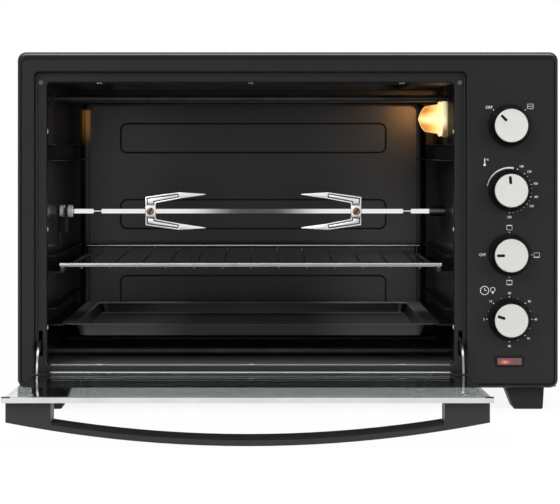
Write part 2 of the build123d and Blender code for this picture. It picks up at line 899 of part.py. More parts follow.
with BuildPart() as lamp_ring:
    ring_face = liner_right - lamp_ring_sheet
    rod_x(ring_face, liner_right, deep(lamp_depth), lamp_z, lamp_ring_radius)
    rod_x(ring_face, liner_right, deep(lamp_depth), lamp_z, lamp_hole_radius, Mode.SUBTRACT)
keep(lamp_ring, "lamp_ring")

with BuildPart() as lamp_glass:
    flange_end = lamp_ring_sheet + lamp_flange
    shoulder = lamp_length - lamp_dome_radius
    bore_radius = lamp_dome_radius - lamp_wall
    with BuildSketch(lamp_plane):
        with BuildLine():
            rim = Polyline(
                (lamp_ring_sheet, 0),
                (lamp_ring_sheet, lamp_flange_radius),
                (flange_end, lamp_flange_radius),
                (flange_end, lamp_dome_radius),
                (shoulder, lamp_dome_radius),
            )
            dome = TangentArc(rim @ 1, (lamp_length, 0), tangent=(1, 0))
            Line(dome @ 1, rim @ 0)
        make_face()
    revolve(axis=lamp_axis)
    with BuildSketch(lamp_plane):
        with BuildLine():
            bore = Polyline((lamp_ring_sheet, 0), (lamp_ring_sheet, bore_radius), (shoulder, bore_radius))
            bore_end = TangentArc(bore @ 1, (lamp_length - lamp_wall, 0), tangent=(1, 0))
            Line(bore_end @ 1, bore @ 0)
        make_face()
    revolve(axis=lamp_axis, mode=Mode.SUBTRACT)
keep(lamp_glass, "lamp_glass")

with BuildPart() as lamp_bulb:
    with BuildSketch(lamp_plane):
        with BuildLine():
            foot = Polyline(
                (lamp_ring_sheet, 0),
                (lamp_ring_sheet, bulb_neck_radius),
                (lamp_ring_sheet + bulb_neck, bulb_neck_radius),
                (lamp_ring_sheet + bulb_neck + bulb_shoulder, bulb_radius),
                (bulb_length - bulb_radius, bulb_radius),
            )
            cap = TangentArc(foot @ 1, (bulb_length, 0), tangent=(1, 0))
            Line(cap @ 1, foot @ 0)
        make_face()
    revolve(axis=lamp_axis)
keep(lamp_bulb, "lamp_bulb")

with BuildPart() as lamp_socket:
    socket_radius_in_wall = lamp_hole_radius - socket_clearance
    rod_x(ring_face, right_outer + socket_length, deep(lamp_depth), lamp_z, socket_radius_in_wall)
    rod_x(right_outer, right_outer + socket_flange, deep(lamp_depth), lamp_z, socket_flange_radius)
keep(lamp_socket, "lamp_socket")

# Spit with its flanged bush, resting in a notched support on the left
spit_y = deep(spit_depth)
bush_left = liner_left + bush_wall_gap
bush_right = bush_left + bush_length
groove_mid = (bush_left + bush_right) / 2
mouth = liner_right - socket_mouth
spit_end = mouth + socket_engagement
left_neck = bush_right + spit_neck_from_bush
right_neck = mouth - spit_neck_from_socket - spit_neck

with BuildPart() as spit_support:
    low = groove_mid - support_sheet / 2
    high = groove_mid + support_sheet / 2
    y0 = spit_y - support_width / 2
    y1 = spit_y + support_width / 2
    foot_z = spit_z - support_drop
    notch = bush_groove_radius + support_fit
    block(low, high, y0, y1, foot_z, spit_z + notch)
    rod_x(low, high, spit_y, spit_z, notch, Mode.SUBTRACT)
    block(low, high, spit_y - notch, spit_y + notch, spit_z, spit_z + 2 * notch, Mode.SUBTRACT)
    block(liner_left, high, y0, y1, foot_z - support_sheet, foot_z)
    block(liner_left, liner_left + support_sheet, y0, y1, foot_z - support_flange, foot_z)
keep(spit_support, "spit_support")

with BuildPart() as spit_bush:
    rod_x(bush_left, bush_right, spit_y, spit_z, bush_radius)
    groove_low = groove_mid - bush_groove / 2
    groove_high = groove_mid + bush_groove / 2
    rod_x(groove_low, groove_high, spit_y, spit_z, bush_radius, Mode.SUBTRACT)
    rod_x(groove_low, groove_high, spit_y, spit_z, bush_groove_radius)
    rod_x(bush_left, bush_right, spit_y, spit_z, spit_stub_radius + bush_fit, Mode.SUBTRACT)
    rims = spit_bush.edges().filter_by(GeomType.CIRCLE).filter_by(lambda e: e.radius > bush_groove_radius)
    fillet(rims, bush_round)
keep(spit_bush, "spit_bush")

with BuildPart() as spit_rod:
    half = spit_size / 2
    rod_x(bush_left, bush_right, spit_y, spit_z, spit_stub_radius)
    for x0, x1 in (
        (bush_right, left_neck),
        (left_neck + spit_neck, right_neck),
        (right_neck + spit_neck, spit_end),
    ):
        block(x0, x1, spit_y - half, spit_y + half, spit_z - half, spit_z + half)
    for x0 in (left_neck, right_neck):
        rod_x(x0, x0 + spit_neck, spit_y, spit_z, spit_neck_radius)
    chamfer(spit_rod.faces().sort_by(Axis.X)[-1].edges(), spit_point, half - spit_tip)
keep(spit_rod, "spit_rod")

with BuildPart() as drive_socket:
    hole = half + socket_bore_gap
    shaft_end = liner_right + liner_sheet + drive_shaft_length
    rod_x(mouth, liner_right - slide_gap, spit_y, spit_z, socket_radius)
    rod_x(liner_right - slide_gap, shaft_end, spit_y, spit_z, drive_shaft_radius)
    hole_end = spit_end + socket_bore_gap
    block(mouth, hole_end, spit_y - hole, spit_y + hole, spit_z - hole, spit_z + hole, Mode.SUBTRACT)
keep(drive_socket, "drive_socket")

with BuildPart() as spit_motor:
    motor_face = liner_right + liner_sheet
    rod_x(motor_face, motor_face + motor_length, spit_y, spit_z, motor_radius)
    block(
        motor_face,
        motor_face + motor_ear_sheet,
        spit_y - motor_ear / 2,
        spit_y + motor_ear / 2,
        spit_z - motor_ear_height / 2,
        spit_z + motor_ear_height / 2,
    )
    bore_end = shaft_end + slide_gap
    rod_x(motor_face, bore_end, spit_y, spit_z, drive_shaft_radius + motor_fit, Mode.SUBTRACT)
keep(spit_motor, "spit_motor")

# Forks: pressed two-tined plates on square hubs, each clamped by a thumb screw
fork_outline = [
    (0, fork_half_height),
    (fork_elbow, fork_elbow_height),
    (fork_reach, fork_tip_height),
    (fork_elbow + fork_rim, fork_elbow_height - fork_tine_width),
    (fork_base, fork_half_height - fork_tine_width),
]
for name, back, side in (("left_fork", left_fork_back, 1), ("right_fork", right_fork_back, -1)):
    back_x = mid_x + back
    hub_x = back_x + side * fork_base / 2
    upper_edge = [(side * x, z) for x, z in fork_outline]
    lower_edge = [(x, -z) for x, z in reversed(upper_edge)]
    with BuildPart() as fork:
        plate_plane = Plane(
            origin=(back_x, spit_y - fork_plate / 2, spit_z), x_dir=(1, 0, 0), z_dir=(0, -1, 0)
        )
        with BuildSketch(plate_plane):
            with BuildLine():
                Polyline(*upper_edge, *lower_edge, close=True)
            make_face()
        extrude(amount=-fork_plate)
        for plane, amount in (
            (plate_plane, -fork_press),
            (plate_plane.offset(-fork_plate), fork_press),
        ):
            with BuildSketch(plane):
                with BuildLine():
                    Polyline(*upper_edge, *lower_edge, close=True)
                make_face()
                offset(amount=-fork_rim, mode=Mode.REPLACE)
            extrude(amount=amount, mode=Mode.SUBTRACT)
        with Locations((hub_x, spit_y, spit_z)):
            Box(fork_base, fork_hub, fork_hub)
        gap = half + fork_hub_clearance
        with Locations((hub_x, spit_y, spit_z)):
            Box(2 * fork_base, 2 * gap, 2 * gap, mode=Mode.SUBTRACT)
        rod_y(
            hub_x,
            spit_y - fork_hub / 2,
            spit_y - gap,
            spit_z,
            thumb_stem_radius + thumb_stem_fit,
            Mode.SUBTRACT,
        )
    keep(fork, name)
    with BuildPart() as fork_screw:
        hub_face = spit_y - fork_hub / 2
        rod_y(hub_x, hub_face, spit_y - half - fork_hub_clearance / 2, spit_z, thumb_stem_radius)
        rod_y(hub_x, hub_face - thumb_head, hub_face - slide_gap, spit_z, thumb_radius)
        rod_y(hub_x, hub_face - slide_gap, hub_face, spit_z, thumb_stem_radius)
    keep(fork_screw, f"{name}_screw")

# Wire rack: thick bars in front, behind and at the sides, with thin wires below them
with BuildPart() as wire_rack:
    rack_y0 = deep(rack_front)
    rack_y1 = deep(cavity_depth - rack_rear_gap)
    rear_z = rack_z + rack_rear_raise
    weld_drop = rack_bar_radius + rack_wire_radius - weld_sink
    half_rack = rack_width / 2
    rod_x(mid_x - half_rack, mid_x + half_rack, rack_y0, rack_z, rack_bar_radius)
    rear_bar_y = rack_y1 + rack_wire_radius + rack_bar_radius - weld_sink
    rod_x(mid_x - half_rack, mid_x + half_rack, rear_bar_y, rear_z, rack_bar_radius)
    side_x = half_rack - rack_side_inset
    for x in (mid_x - side_x, mid_x + side_x):
        rod_y(x, rack_y0 - rack_bar_radius, rack_y1, rack_side_z, rack_bar_radius)
        rod_z(x, rack_y1, rack_side_z, rear_z, rack_bar_radius)
        with Locations((x, rack_y1, rack_side_z)):
            Sphere(rack_bar_radius)
    for step in range(rack_wire_count):
        x = mid_x + (step - (rack_wire_count - 1) / 2) * rack_wire_pitch
        wire_run = Vector(0, rear_bar_y - rack_y0, rack_rear_raise)
        with BuildSketch(Plane((x, rack_y0, rack_z - weld_drop), x_dir=(1, 0, 0), z_dir=wire_run)):
            Circle(rack_wire_radius)
        extrude(amount=wire_run.length)
keep(wire_rack, "wire_rack")

# Baking tray: a flat flange all round that slides on the lowest runners
with BuildPart() as baking_tray:
    tray_length = cavity_depth - tray_rear_gap - tray_front
    tray_mid_y = deep(tray_front + tray_length / 2)
    pan_width = tray_width - 2 * tray_flange
    pan_length = tray_length - 2 * tray_flange
    with BuildSketch(Plane(origin=(mid_x, tray_mid_y, tray_rim_z))):
        RectangleRounded(tray_width, tray_length, tray_corner)
    extrude(amount=-tray_sheet)
    with BuildSketch(Plane(origin=(mid_x, tray_mid_y, tray_rim_z))):
        RectangleRounded(pan_width, pan_length, tray_inner_corner)
    extrude(amount=-tray_depth, taper=tray_taper)
    with BuildSketch(Plane(origin=(mid_x, tray_mid_y, tray_rim_z))):
        wall = 2 * tray_sheet / cos(radians(tray_taper))
        RectangleRounded(pan_width - wall, pan_length - wall, tray_inner_corner - wall / 2)
    extrude(amount=-(tray_depth - tray_sheet), taper=tray_taper, mode=Mode.SUBTRACT)
keep(baking_tray, "baking_tray")

# Door: all pieces lie in the plane of the open door, with the hinge line as its x axis.
# Local y runs from the free edge, at -door_length, towards the hinge; local z is the inner face.
door_left = pocket_left + door_side_gap
door_right = pocket_right - door_side_gap
glass_left = door_left + bracket_side
glass_right = door_right - bracket_side
glass_end = -door_length + trim_web
screw_reach = door_length - trim_leg - handle_trim_gap - handle_width / 2
handle_screw_places = [(mid_x + side * (handle_half - handle_post / 2), -screw_reach) for side in (-1, 1)]

with BuildPart(door_plane) as door_glass:
    block(glass_left, glass_right, glass_end, door_heel, glass_outer, glass_inner)
    for x, y in handle_screw_places:
        rod_z(x, y, glass_outer, glass_inner, screw_hole, Mode.SUBTRACT)
keep(door_glass, "door_glass")

with BuildPart(door_plane) as door_trim:
    trim_top = glass_inner + trim_sheet
    trim_under = glass_outer - trim_sheet
    cap_left = door_left + trim_cap
    cap_right = door_right - trim_cap
    block(door_left, door_right, -door_length, glass_end + trim_leg, trim_under, trim_top)
    block(door_left, door_right, glass_end, glass_end + trim_leg, glass_outer, glass_inner, Mode.SUBTRACT)
    for low, high in ((door_left, cap_left), (cap_right, door_right)):
        block(low, high, -door_length, glass_end + trim_leg, glass_inner, trim_top, Mode.SUBTRACT)
keep(door_trim, "door_trim")

with BuildPart(door_plane) as trim_end_caps:
    cap_top = glass_inner + trim_cap_wall
    for low, high in ((door_left, cap_left), (cap_right, door_right)):
        block(low, high, -door_length, glass_end + trim_leg, glass_inner, cap_top)
    for low, high in ((door_left, glass_left), (glass_right, door_right)):
        block(low, high, glass_end, glass_end + trim_leg, glass_outer, glass_inner)
keep(trim_end_caps, "trim_end_caps")

with BuildPart(door_plane) as door_bottom_rail:
    rail_left = door_left + bracket_width
    rail_right = door_right - bracket_width
    rail_heel = door_heel + rail_outer
    rail_top = glass_inner + rail_inner
    block(rail_left, rail_right, -rail_leg, rail_heel, glass_outer - rail_outer, rail_top)
    block(rail_left, rail_right, -rail_leg, door_heel, glass_outer, glass_inner, Mode.SUBTRACT)
keep(door_bottom_rail, "door_bottom_rail")

with BuildPart(door_plane) as hinge_brackets:
    bracket_top = glass_inner + bracket_wall
    bracket_under = glass_outer - bracket_wall
    bracket_heel = door_heel + bracket_wall / 2
    for low, high in ((door_left, door_left + bracket_width), (door_right - bracket_width, door_right)):
        block(low, high, -bracket_length, bracket_heel, bracket_under, bracket_top)
    block(glass_left, glass_right, -bracket_length, door_heel, glass_outer, glass_inner, Mode.SUBTRACT)
    pin_reach = door_side_gap + frame_sheet + hinge_pin_reach
    rod_x(door_left - pin_reach, door_left, 0, 0, hinge_pin_radius)
    rod_x(door_right, door_right + pin_reach, 0, 0, hinge_pin_radius)
keep(hinge_brackets, "hinge_brackets")

# Hinge arms: flat quadrants about the hinge line that run through the slots of the pocket
with BuildPart() as hinge_arms:
    arm_clip = 2 * arm_outer_radius
    arm_tilt = cos(radians(arm_end_angle)) / sin(radians(arm_end_angle))
    for side in (-1, 1):
        with BuildSketch(along_door(mid_x + side * arm_offset + arm_sheet / 2)):
            Circle(arm_outer_radius)
            Circle(arm_inner_radius, mode=Mode.SUBTRACT)
            with BuildLine():
                Polyline(
                    (bracket_top * arm_tilt, bracket_top),
                    (arm_clip, bracket_top),
                    (arm_clip, arm_clip),
                    (arm_clip * arm_tilt, arm_clip),
                    close=True,
                )
            make_face(mode=Mode.INTERSECT)
        extrude(amount=arm_sheet)
keep(hinge_arms, "hinge_arms")

with BuildPart() as door_springs:
    for side in (-1, 1):
        x = mid_x + side * (arm_offset + spring_offset)
        rod_y(x, spring_start, spring_start + spring_length, spring_z, spring_radius)
keep(door_springs, "door_springs")

# Door handle: a bowed band between two posts
with BuildPart() as door_handle:
    handle_start = screw_reach - handle_width / 2
    inner_half = handle_half - handle_post
    bow_rise = handle_mid_depth - handle_end_depth
    bow_radius = (handle_half**2 + bow_rise**2) / (2 * bow_rise)
    palm_radius = bow_radius - handle_band
    bow_centre = handle_mid_depth - bow_radius
    inner_depth = bow_centre + (palm_radius**2 - inner_half**2) ** 0.5
    with BuildSketch(across_door(mid_x, handle_start, glass_outer)):
        with BuildLine():
            left_end = Line((-handle_half, 0), (-handle_half, -handle_end_depth))
            bow = ThreePointArc(left_end @ 1, (0, -handle_mid_depth), (handle_half, -handle_end_depth))
            right_post = Polyline(bow @ 1, (handle_half, 0), (inner_half, 0), (inner_half, -inner_depth))
            palm = ThreePointArc(
                right_post @ 1, (0, handle_band - handle_mid_depth), (-inner_half, -inner_depth)
            )
            Polyline(palm @ 1, (-inner_half, 0), left_end @ 0)
        make_face()
    extrude(amount=handle_width)
    outer_edges = door_handle.edges().filter_by(GeomType.CIRCLE)
    fillet(outer_edges, handle_round)
    for x, y in handle_screw_places:
        screw_plane = Plane(door_plane.location * Location((x, y, glass_outer)))
        with Locations(screw_plane.location * Location((0, 0, -handle_screw_depth / 2))):
            Cylinder(screw_hole, handle_screw_depth, mode=Mode.SUBTRACT)
keep(door_handle, "door_handle")

with BuildPart(door_plane) as handle_screws:
    for x, y in handle_screw_places:
        rod_z(x, y, glass_outer - handle_screw_depth + screw_recess_gap, glass_inner, screw_radius)
        rod_z(x, y, glass_inner, glass_inner + screw_head, screw_head_radius)
keep(handle_screws, "handle_screws")

# Controls: knob, silver face, shaft and the switch body behind the panel
control_names = ("rotisserie", "thermostat", "function", "timer")
switch_sizes = (
    ("rotisserie_switch", switch_width, switch_height, switch_depth),
    ("thermostat", switch_width, switch_height, thermostat_depth),
    ("function_switch", switch_width, switch_height, switch_depth),
    ("timer", timer_size, timer_size, timer_depth),
)
for name, z, (switch_name, width, height, depth) in zip(control_names, knob_heights, switch_sizes):
    with BuildPart() as knob:
        back = -knob_panel_gap
        skirt_face = back - knob_skirt
        face = back - knob_height
        rod_y(knob_x, deep(skirt_face), deep(back), z, knob_skirt_radius)
        with Locations(Location((knob_x, deep((skirt_face + face) / 2), z), (90, 0, 0))):
            Cone(knob_skirt_radius - knob_step, knob_face_radius, skirt_face - face)
        fillet(knob.faces().sort_by(Axis.Y)[0].edges(), knob_round)
        rod_y(knob_x, deep(face), deep(face + knob_cap_sink), z, knob_cap_radius, Mode.SUBTRACT)
        rod_y(knob_x, deep(back - shaft_in_knob), deep(back), z, shaft_radius, Mode.SUBTRACT)
    keep(knob, f"{name}_knob")
    with BuildPart() as cap:
        cap_face = face + knob_cap_sink - knob_cap
        rod_y(knob_x, deep(cap_face), deep(face + knob_cap_sink), z, knob_cap_radius)
        fillet(cap.faces().sort_by(Axis.Y)[0].edges(), knob_cap_round)
    keep(cap, f"{name}_knob_cap")
    with BuildPart() as shaft:
        rod_y(knob_x, deep(back - shaft_in_knob), deep(frame_sheet + shaft_in_switch), z, shaft_radius)
    keep(shaft, f"{name}_shaft")
    with BuildPart() as switch:
        block(
            knob_x - width / 2,
            knob_x + width / 2,
            deep(frame_sheet),
            deep(frame_sheet + depth),
            z - height / 2,
            z + height / 2,
        )
        rod_y(
            knob_x,
            deep(frame_sheet),
            deep(frame_sheet + shaft_in_switch + slide_gap),
            z,
            shaft_radius + shaft_fit,
            Mode.SUBTRACT,
        )
    keep(switch, switch_name)

# Indicator lamp: bezel and body in one moulding, and the lens in its window
half_width = indicator_width / 2
half_height = indicator_height / 2
with BuildPart() as indicator_body:
    rounded(
        facing(knob_x, -indicator_bezel, window_z),
        indicator_width,
        indicator_height,
        indicator_corner,
        indicator_bezel,
    )
    block(
        knob_x - half_width + indicator_body_inset,
        knob_x + half_width - indicator_body_inset,
        front,
        deep(indicator_body_depth),
        window_z - half_height + indicator_body_inset,
        window_z + half_height - indicator_body_inset,
    )
    lens_half_width = half_width - indicator_rim - indicator_body_inset
    lens_half_height = half_height - indicator_rim - lens_inset
    lens_back = lens_depth - indicator_bezel
    block(
        knob_x - lens_half_width,
        knob_x + lens_half_width,
        deep(-indicator_bezel),
        deep(lens_back),
        window_z - lens_half_height,
        window_z + lens_half_height,
        Mode.SUBTRACT,
    )
keep(indicator_body, "indicator_body")

with BuildPart() as indicator_lens:
    block(
        knob_x - lens_half_width,
        knob_x + lens_half_width,
        deep(-indicator_bezel),
        deep(lens_back),
        window_z - lens_half_height,
        window_z + lens_half_height,
    )
keep(indicator_lens, "indicator_lens")
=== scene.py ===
import json
import math

import bmesh
import bpy
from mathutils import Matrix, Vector


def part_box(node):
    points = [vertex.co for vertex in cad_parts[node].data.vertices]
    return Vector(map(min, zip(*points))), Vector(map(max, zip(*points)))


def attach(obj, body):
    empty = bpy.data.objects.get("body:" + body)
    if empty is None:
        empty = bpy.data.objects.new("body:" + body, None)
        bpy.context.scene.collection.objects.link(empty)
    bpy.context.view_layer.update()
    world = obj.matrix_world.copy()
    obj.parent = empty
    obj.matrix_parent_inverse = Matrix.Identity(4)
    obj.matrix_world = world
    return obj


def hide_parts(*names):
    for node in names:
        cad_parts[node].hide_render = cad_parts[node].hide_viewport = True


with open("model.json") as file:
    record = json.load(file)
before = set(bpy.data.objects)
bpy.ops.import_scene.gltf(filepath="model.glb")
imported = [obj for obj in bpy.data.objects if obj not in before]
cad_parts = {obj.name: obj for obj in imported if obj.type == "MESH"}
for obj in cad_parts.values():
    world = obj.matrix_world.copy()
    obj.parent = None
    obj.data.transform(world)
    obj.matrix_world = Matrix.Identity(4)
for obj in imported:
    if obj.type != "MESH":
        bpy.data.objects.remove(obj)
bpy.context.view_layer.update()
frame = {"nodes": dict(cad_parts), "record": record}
nodes = frame["nodes"]
mm = 0.001
weld = 1e-6  # points nearer than this are one
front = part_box("front_frame")[0].y  # the painted front face
ahead = (0, -1, 0)
print("frame loaded,", len(nodes), "nodes")


def middleOf(nodeName):
    low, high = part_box(nodeName)
    return (low + high) / 2


def clearSelection():
    if bpy.context.object and bpy.context.object.mode != "OBJECT":
        bpy.ops.object.mode_set(mode="OBJECT")
    bpy.ops.object.select_all(action="DESELECT")


def take(piece):
    clearSelection()
    piece.select_set(True)
    bpy.context.view_layer.objects.active = piece


def settle(piece, name):  # the place goes into the mesh, the object to the origin
    piece.name = name
    piece.data.name = name
    take(piece)
    bpy.ops.object.transform_apply(location=True, rotation=True, scale=True)
    return piece


def pickAll():
    bpy.ops.mesh.select_all(action="SELECT")


def edit(piece):
    take(piece)
    bpy.ops.object.mode_set(mode="EDIT")
    pickAll()


def done():
    bpy.ops.object.mode_set(mode="OBJECT")


def pick(kind, test):  # in edit mode: select the faces or edges that pass the test
    bpy.ops.mesh.select_mode(type=kind)
    bpy.ops.mesh.select_all(action="DESELECT")
    form = bmesh.from_edit_mesh(bpy.context.object.data)
    form.normal_update()
    for part in form.faces if kind == "FACE" else form.edges:
        part.select = bool(test(part))
    form.select_flush_mode()
    bmesh.update_edit_mesh(bpy.context.object.data)


def pull(shift):  # extrude what is selected
    bpy.ops.mesh.extrude_region_move(TRANSFORM_OT_translate={"value": shift})


def cleanForm():  # merge doubles, turn the faces outwards, leave edit mode
    bpy.ops.mesh.select_mode(type="VERT")
    pickAll()
    bpy.ops.mesh.remove_doubles(threshold=weld)
    bpy.ops.mesh.normals_make_consistent(inside=False)
    done()


def withModifier(piece, kind, **settings):
    take(piece)
    made = piece.modifiers.new(kind.lower(), kind)
    for key, value in settings.items():
        setattr(made, key, value)
    bpy.ops.object.modifier_apply(modifier=made.name)


def smooth(piece, angle=35):
    take(piece)
    bpy.ops.object.shade_smooth_by_angle(angle=math.radians(angle))


def softEdges(piece, width, segments=3, angle=35):
    withModifier(piece, "BEVEL", width=width * mm, segments=segments, limit_method="ANGLE",
                 angle_limit=math.radians(angle))
    smooth(piece)


def cutWith(piece, cutter):
    withModifier(piece, "BOOLEAN", operation="DIFFERENCE", solver="EXACT", object=cutter)
    bpy.data.objects.remove(cutter)


def boxAt(name, place, size, turn=(0, 0, 0)):
    clearSelection()
    bpy.ops.mesh.primitive_cube_add(size=1, location=place, rotation=turn)
    bpy.context.object.scale = [v * mm for v in size]
    return settle(bpy.context.object, name)


def sheetAt(name, place, width, height, turn=(math.pi / 2, 0, 0)):
    clearSelection()
    bpy.ops.mesh.primitive_plane_add(size=1, location=place, rotation=turn)
    bpy.context.object.scale = (width * mm, height * mm, 1)
    return settle(bpy.context.object, name)


def discAt(name, place, radius, sides, turn=(math.pi / 2, 0, 0)):
    clearSelection()
    bpy.ops.mesh.primitive_circle_add(vertices=sides, radius=radius * mm, fill_type="NGON", location=place,
                                      rotation=turn)
    return settle(bpy.context.object, name)


def turned(name, place, out, rings, segments=96):  # lathe form, rings are (mm along out, radius)
    axis, centre = Vector(out), Vector(place)
    keep = [abs(v) > 0.5 for v in axis]
    lay = (math.pi / 2, 0, 0) if keep[1] else (0, math.pi / 2, 0) if keep[0] else (0, 0, 0)
    piece = discAt(name, centre + axis * rings[0][0] * mm, rings[0][1], segments, lay)
    edit(piece)
    for (lastOut, lastRadius), (nextOut, nextRadius) in zip(rings, rings[1:]):
        pull(axis * (nextOut - lastOut) * mm)
        ratio = nextRadius / lastRadius
        bpy.ops.transform.resize(value=[1 if k else ratio for k in keep], center_override=centre)
    pick("EDGE", lambda e: e.is_boundary)
    bpy.ops.mesh.edge_face_add()  # closes the first ring
    cleanForm()
    smooth(piece)
    return piece


def copyOf(piece, name, place, turn=(0, 0, 0), scale=(1, 1, 1)):  # a copy with its own mesh
    twin = piece.copy()
    twin.data = piece.data.copy()
    bpy.context.scene.collection.objects.link(twin)
    twin.location, twin.rotation_euler, twin.scale = place, turn, scale
    settle(twin, name)
    if min(scale) < 0:
        edit(twin)
        bpy.ops.mesh.normals_make_consistent(inside=False)
        done()
    return twin


def joinAll(pieces, name):
    clearSelection()
    for piece in pieces:
        piece.select_set(True)
    bpy.context.view_layer.objects.active = pieces[0]
    if len(pieces) > 1:
        bpy.ops.object.join()
    return settle(bpy.context.object, name)


def dress(piece, material, body, slot, *stood):
    piece.data.materials.clear()
    piece.data.materials.append(material)
    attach(piece, body)
    if stood:
        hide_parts(*stood)
    return piece


def looseBoxes(nodeName):  # the box of each loose solid of a CAD node, from a merged copy
    form = bmesh.new()
    form.from_mesh(nodes[nodeName].data)
    bmesh.ops.remove_doubles(form, verts=form.verts, dist=weld)
    left, boxes = set(form.verts), []
    while left:
        stack, island = [left.pop()], []
        while stack:
            vert = stack.pop()
            island.append(vert.co.copy())
            near = {edge.other_vert(vert) for edge in vert.link_edges} & left
            left -= near
            stack += near
        boxes.append([Vector([end(p[i] for p in island) for i in range(3)]) for end in (min, max)])
    form.free()
    return sorted(boxes, key=lambda b: tuple(round(v, 5) for v in b[0]))


class Wire:  # a shader socket that takes part in arithmetic
    def __init__(self, tree, socket=None):
        self.tree, self.socket = tree, socket

    def node(self, kind, sockets=None, out=0, **settings):
        made = self.tree.nodes.new("ShaderNode" + kind)
        for key, value in settings.items():
            if key == "stops":
                ramp = made.color_ramp
                while len(ramp.elements) < len(value):
                    ramp.elements.new(1)
                for stop, (place, tone) in zip(ramp.elements, value):
                    stop.position, stop.color = place, (*tone, 1)
            else:
                setattr(made, key, value)
        for key, value in (sockets or {}).items():
            if isinstance(value, Wire):
                self.tree.links.new(value.socket, made.inputs[key])
            else:
                made.inputs[key].default_value = value
        return Wire(self.tree, made.outputs[out] if made.outputs else None)

    def math(self, operation, first, second=0):
        return self.node("Math", {0: first, 1: second}, operation=operation)

    def __abs__(self):
        return self.math("ABSOLUTE", self)


for word, kind in (("add", "ADD"), ("sub", "SUBTRACT"), ("mul", "MULTIPLY"), ("pow", "POWER")):
    setattr(Wire, f"__{word}__", lambda self, other, kind=kind: self.math(kind, self, other))
    setattr(Wire, f"__r{word}__", lambda self, other, kind=kind: self.math(kind, other, self))


class Kit(dict):  # the settings of one piece or finish, read as kit.name
    __getattr__ = dict.__getitem__


def make(name, recipe, *facts, **look):  # a material; its recipe draws the shader from Object coordinates
    material = bpy.data.materials.new(name)
    material.use_nodes = True
    material.node_tree.nodes.clear()
    shader = recipe(Wire(material.node_tree).node("TexCoord", out="Object"), Kit(look), *facts)
    shader.node("OutputMaterial", {"Surface": shader})
    return material


def rgb(tone):  # a plain tone gets its fourth value
    return tone if isinstance(tone, Wire) else (*tone, 1)


def grey(value, blue=None):
    return value, value, value if blue is None else blue


def noise(place, scale, detail=2, rough=0.5):
    return place.node("TexNoise", {"Vector": place, "Scale": scale, "Detail": detail, "Roughness": rough})


def cloudy(place, scale):  # soft patches of several sizes
    return noise(place, scale, detail=4, rough=0.6)


def cells(place, scale, feature="F1", out="Distance"):
    return place.node("TexVoronoi", {"Vector": place, "Scale": scale}, out, feature=feature)


def mapped(place, scale=(1, 1, 1), middle=(0, 0, 0)):  # scaled about a chosen middle
    shift = [-m * s for m, s in zip(middle, scale)]
    return place.node("Mapping", {"Vector": place, "Scale": scale, "Location": shift})


axisWays = {"x": (1, 0, 0), "y": (0, 1, 0), "z": (0, 0, 1)}


def along(place, axis):  # one coordinate as a value
    return place.node("VectorMath", {0: place, 1: axisWays[axis]}, "Value", operation="DOT_PRODUCT")


def reach(place):
    return place.node("VectorMath", {0: place}, "Value", operation="LENGTH")


def facing(place, share):  # 0 face on, 1 edge on
    return place.node("LayerWeight", {"Blend": share}, "Facing")


def step(value, low, high):  # 0 below low, 1 above high, soft between
    return value.node("MapRange", {"Value": value, "From Min": low, "From Max": high},
                      interpolation_type="SMOOTHSTEP")


def fall(value, low, high):  # 1 below low, 0 above high
    return 1 - step(value, low, high)


def swing(value, amount):  # a texture as a change about zero
    return (value - 0.5) * amount


def tinted(factor, look):
    return blend(factor, look.low, look.high)


def blend(factor, low, high):
    return factor.node("Mix", {"Factor": factor, 6: rgb(low), 7: rgb(high)}, 2, data_type="RGBA")


def bump(height, strength, distance):
    return height.node("Bump", {"Height": height, "Strength": strength, "Distance": distance})


socketNames = {"gloss": "Specular IOR Level", "metal": "Metallic", "normal": "Normal", "glow": "Emission Color",
               "power": "Emission Strength", "coat": "Coat Weight", "coatRough": "Coat Roughness",
               "coatBend": "Coat IOR"}


def surface(place, tone, rough, **more):
    sockets = {socketNames[key]: value for key, value in more.items()}
    return place.node("BsdfPrincipled", {"Base Color": rgb(tone), "Roughness": rough, **sockets})


def dullCoat(place, tone):
    return place.node("BsdfDiffuse", {"Color": rgb(tone)})


def clearCoat(place, tone):
    return place.node("BsdfTransparent", {"Color": rgb(tone)})


def mixed(factor, first, second):
    return first.node("MixShader", {0: factor, 1: first, 2: second})


# the floor light range and share make the paint paler towards the floor: painted light
paintSet = Kit(cloud=7, dust=(0.05, 0.37), cloudShare=0.3, dustShare=0.6, drift=0.1, peelDrift=0.06, depth=0.0002)


def satinPaint(place, look, border=None):  # baked powder coat with a fine orange peel, paler towards the floor as painted light
    peel, cloud = noise(place, look.peel), cloudy(place, paintSet.cloud)
    dust = fall(along(place, "z"), *paintSet.dust)
    tone = tinted(cloud * paintSet.cloudShare + dust * paintSet.dustShare, look)
    rough = look.rough + swing(cloud, paintSet.drift) + swing(peel, paintSet.peelDrift)
    edge = {}
    if border:  # painted shade as a dull line inside the rolled edge, and a bright one on its top
        groove, polish = border(place)
        edge = {"coat": polish, "coatRough": look.polish, "coatBend": look.coat}
    paint = surface(place, tone, rough, gloss=look.gloss, normal=bump(peel, look.bump, paintSet.depth), **edge)
    return mixed(groove, paint, dullCoat(place, look.groove)) if border else paint


enamelSet = Kit(
    cloud=6, drift=0.12, cells=520, speckEdge=(0.09, 0.17), patch=40, patchEdge=(0.5, 0.6), speckShare=0.5,
    speckRough=0.08, wave=70, grit=900, gritShare=0.15, depth=0.0006, sootRough=0.4, sootPress=6)


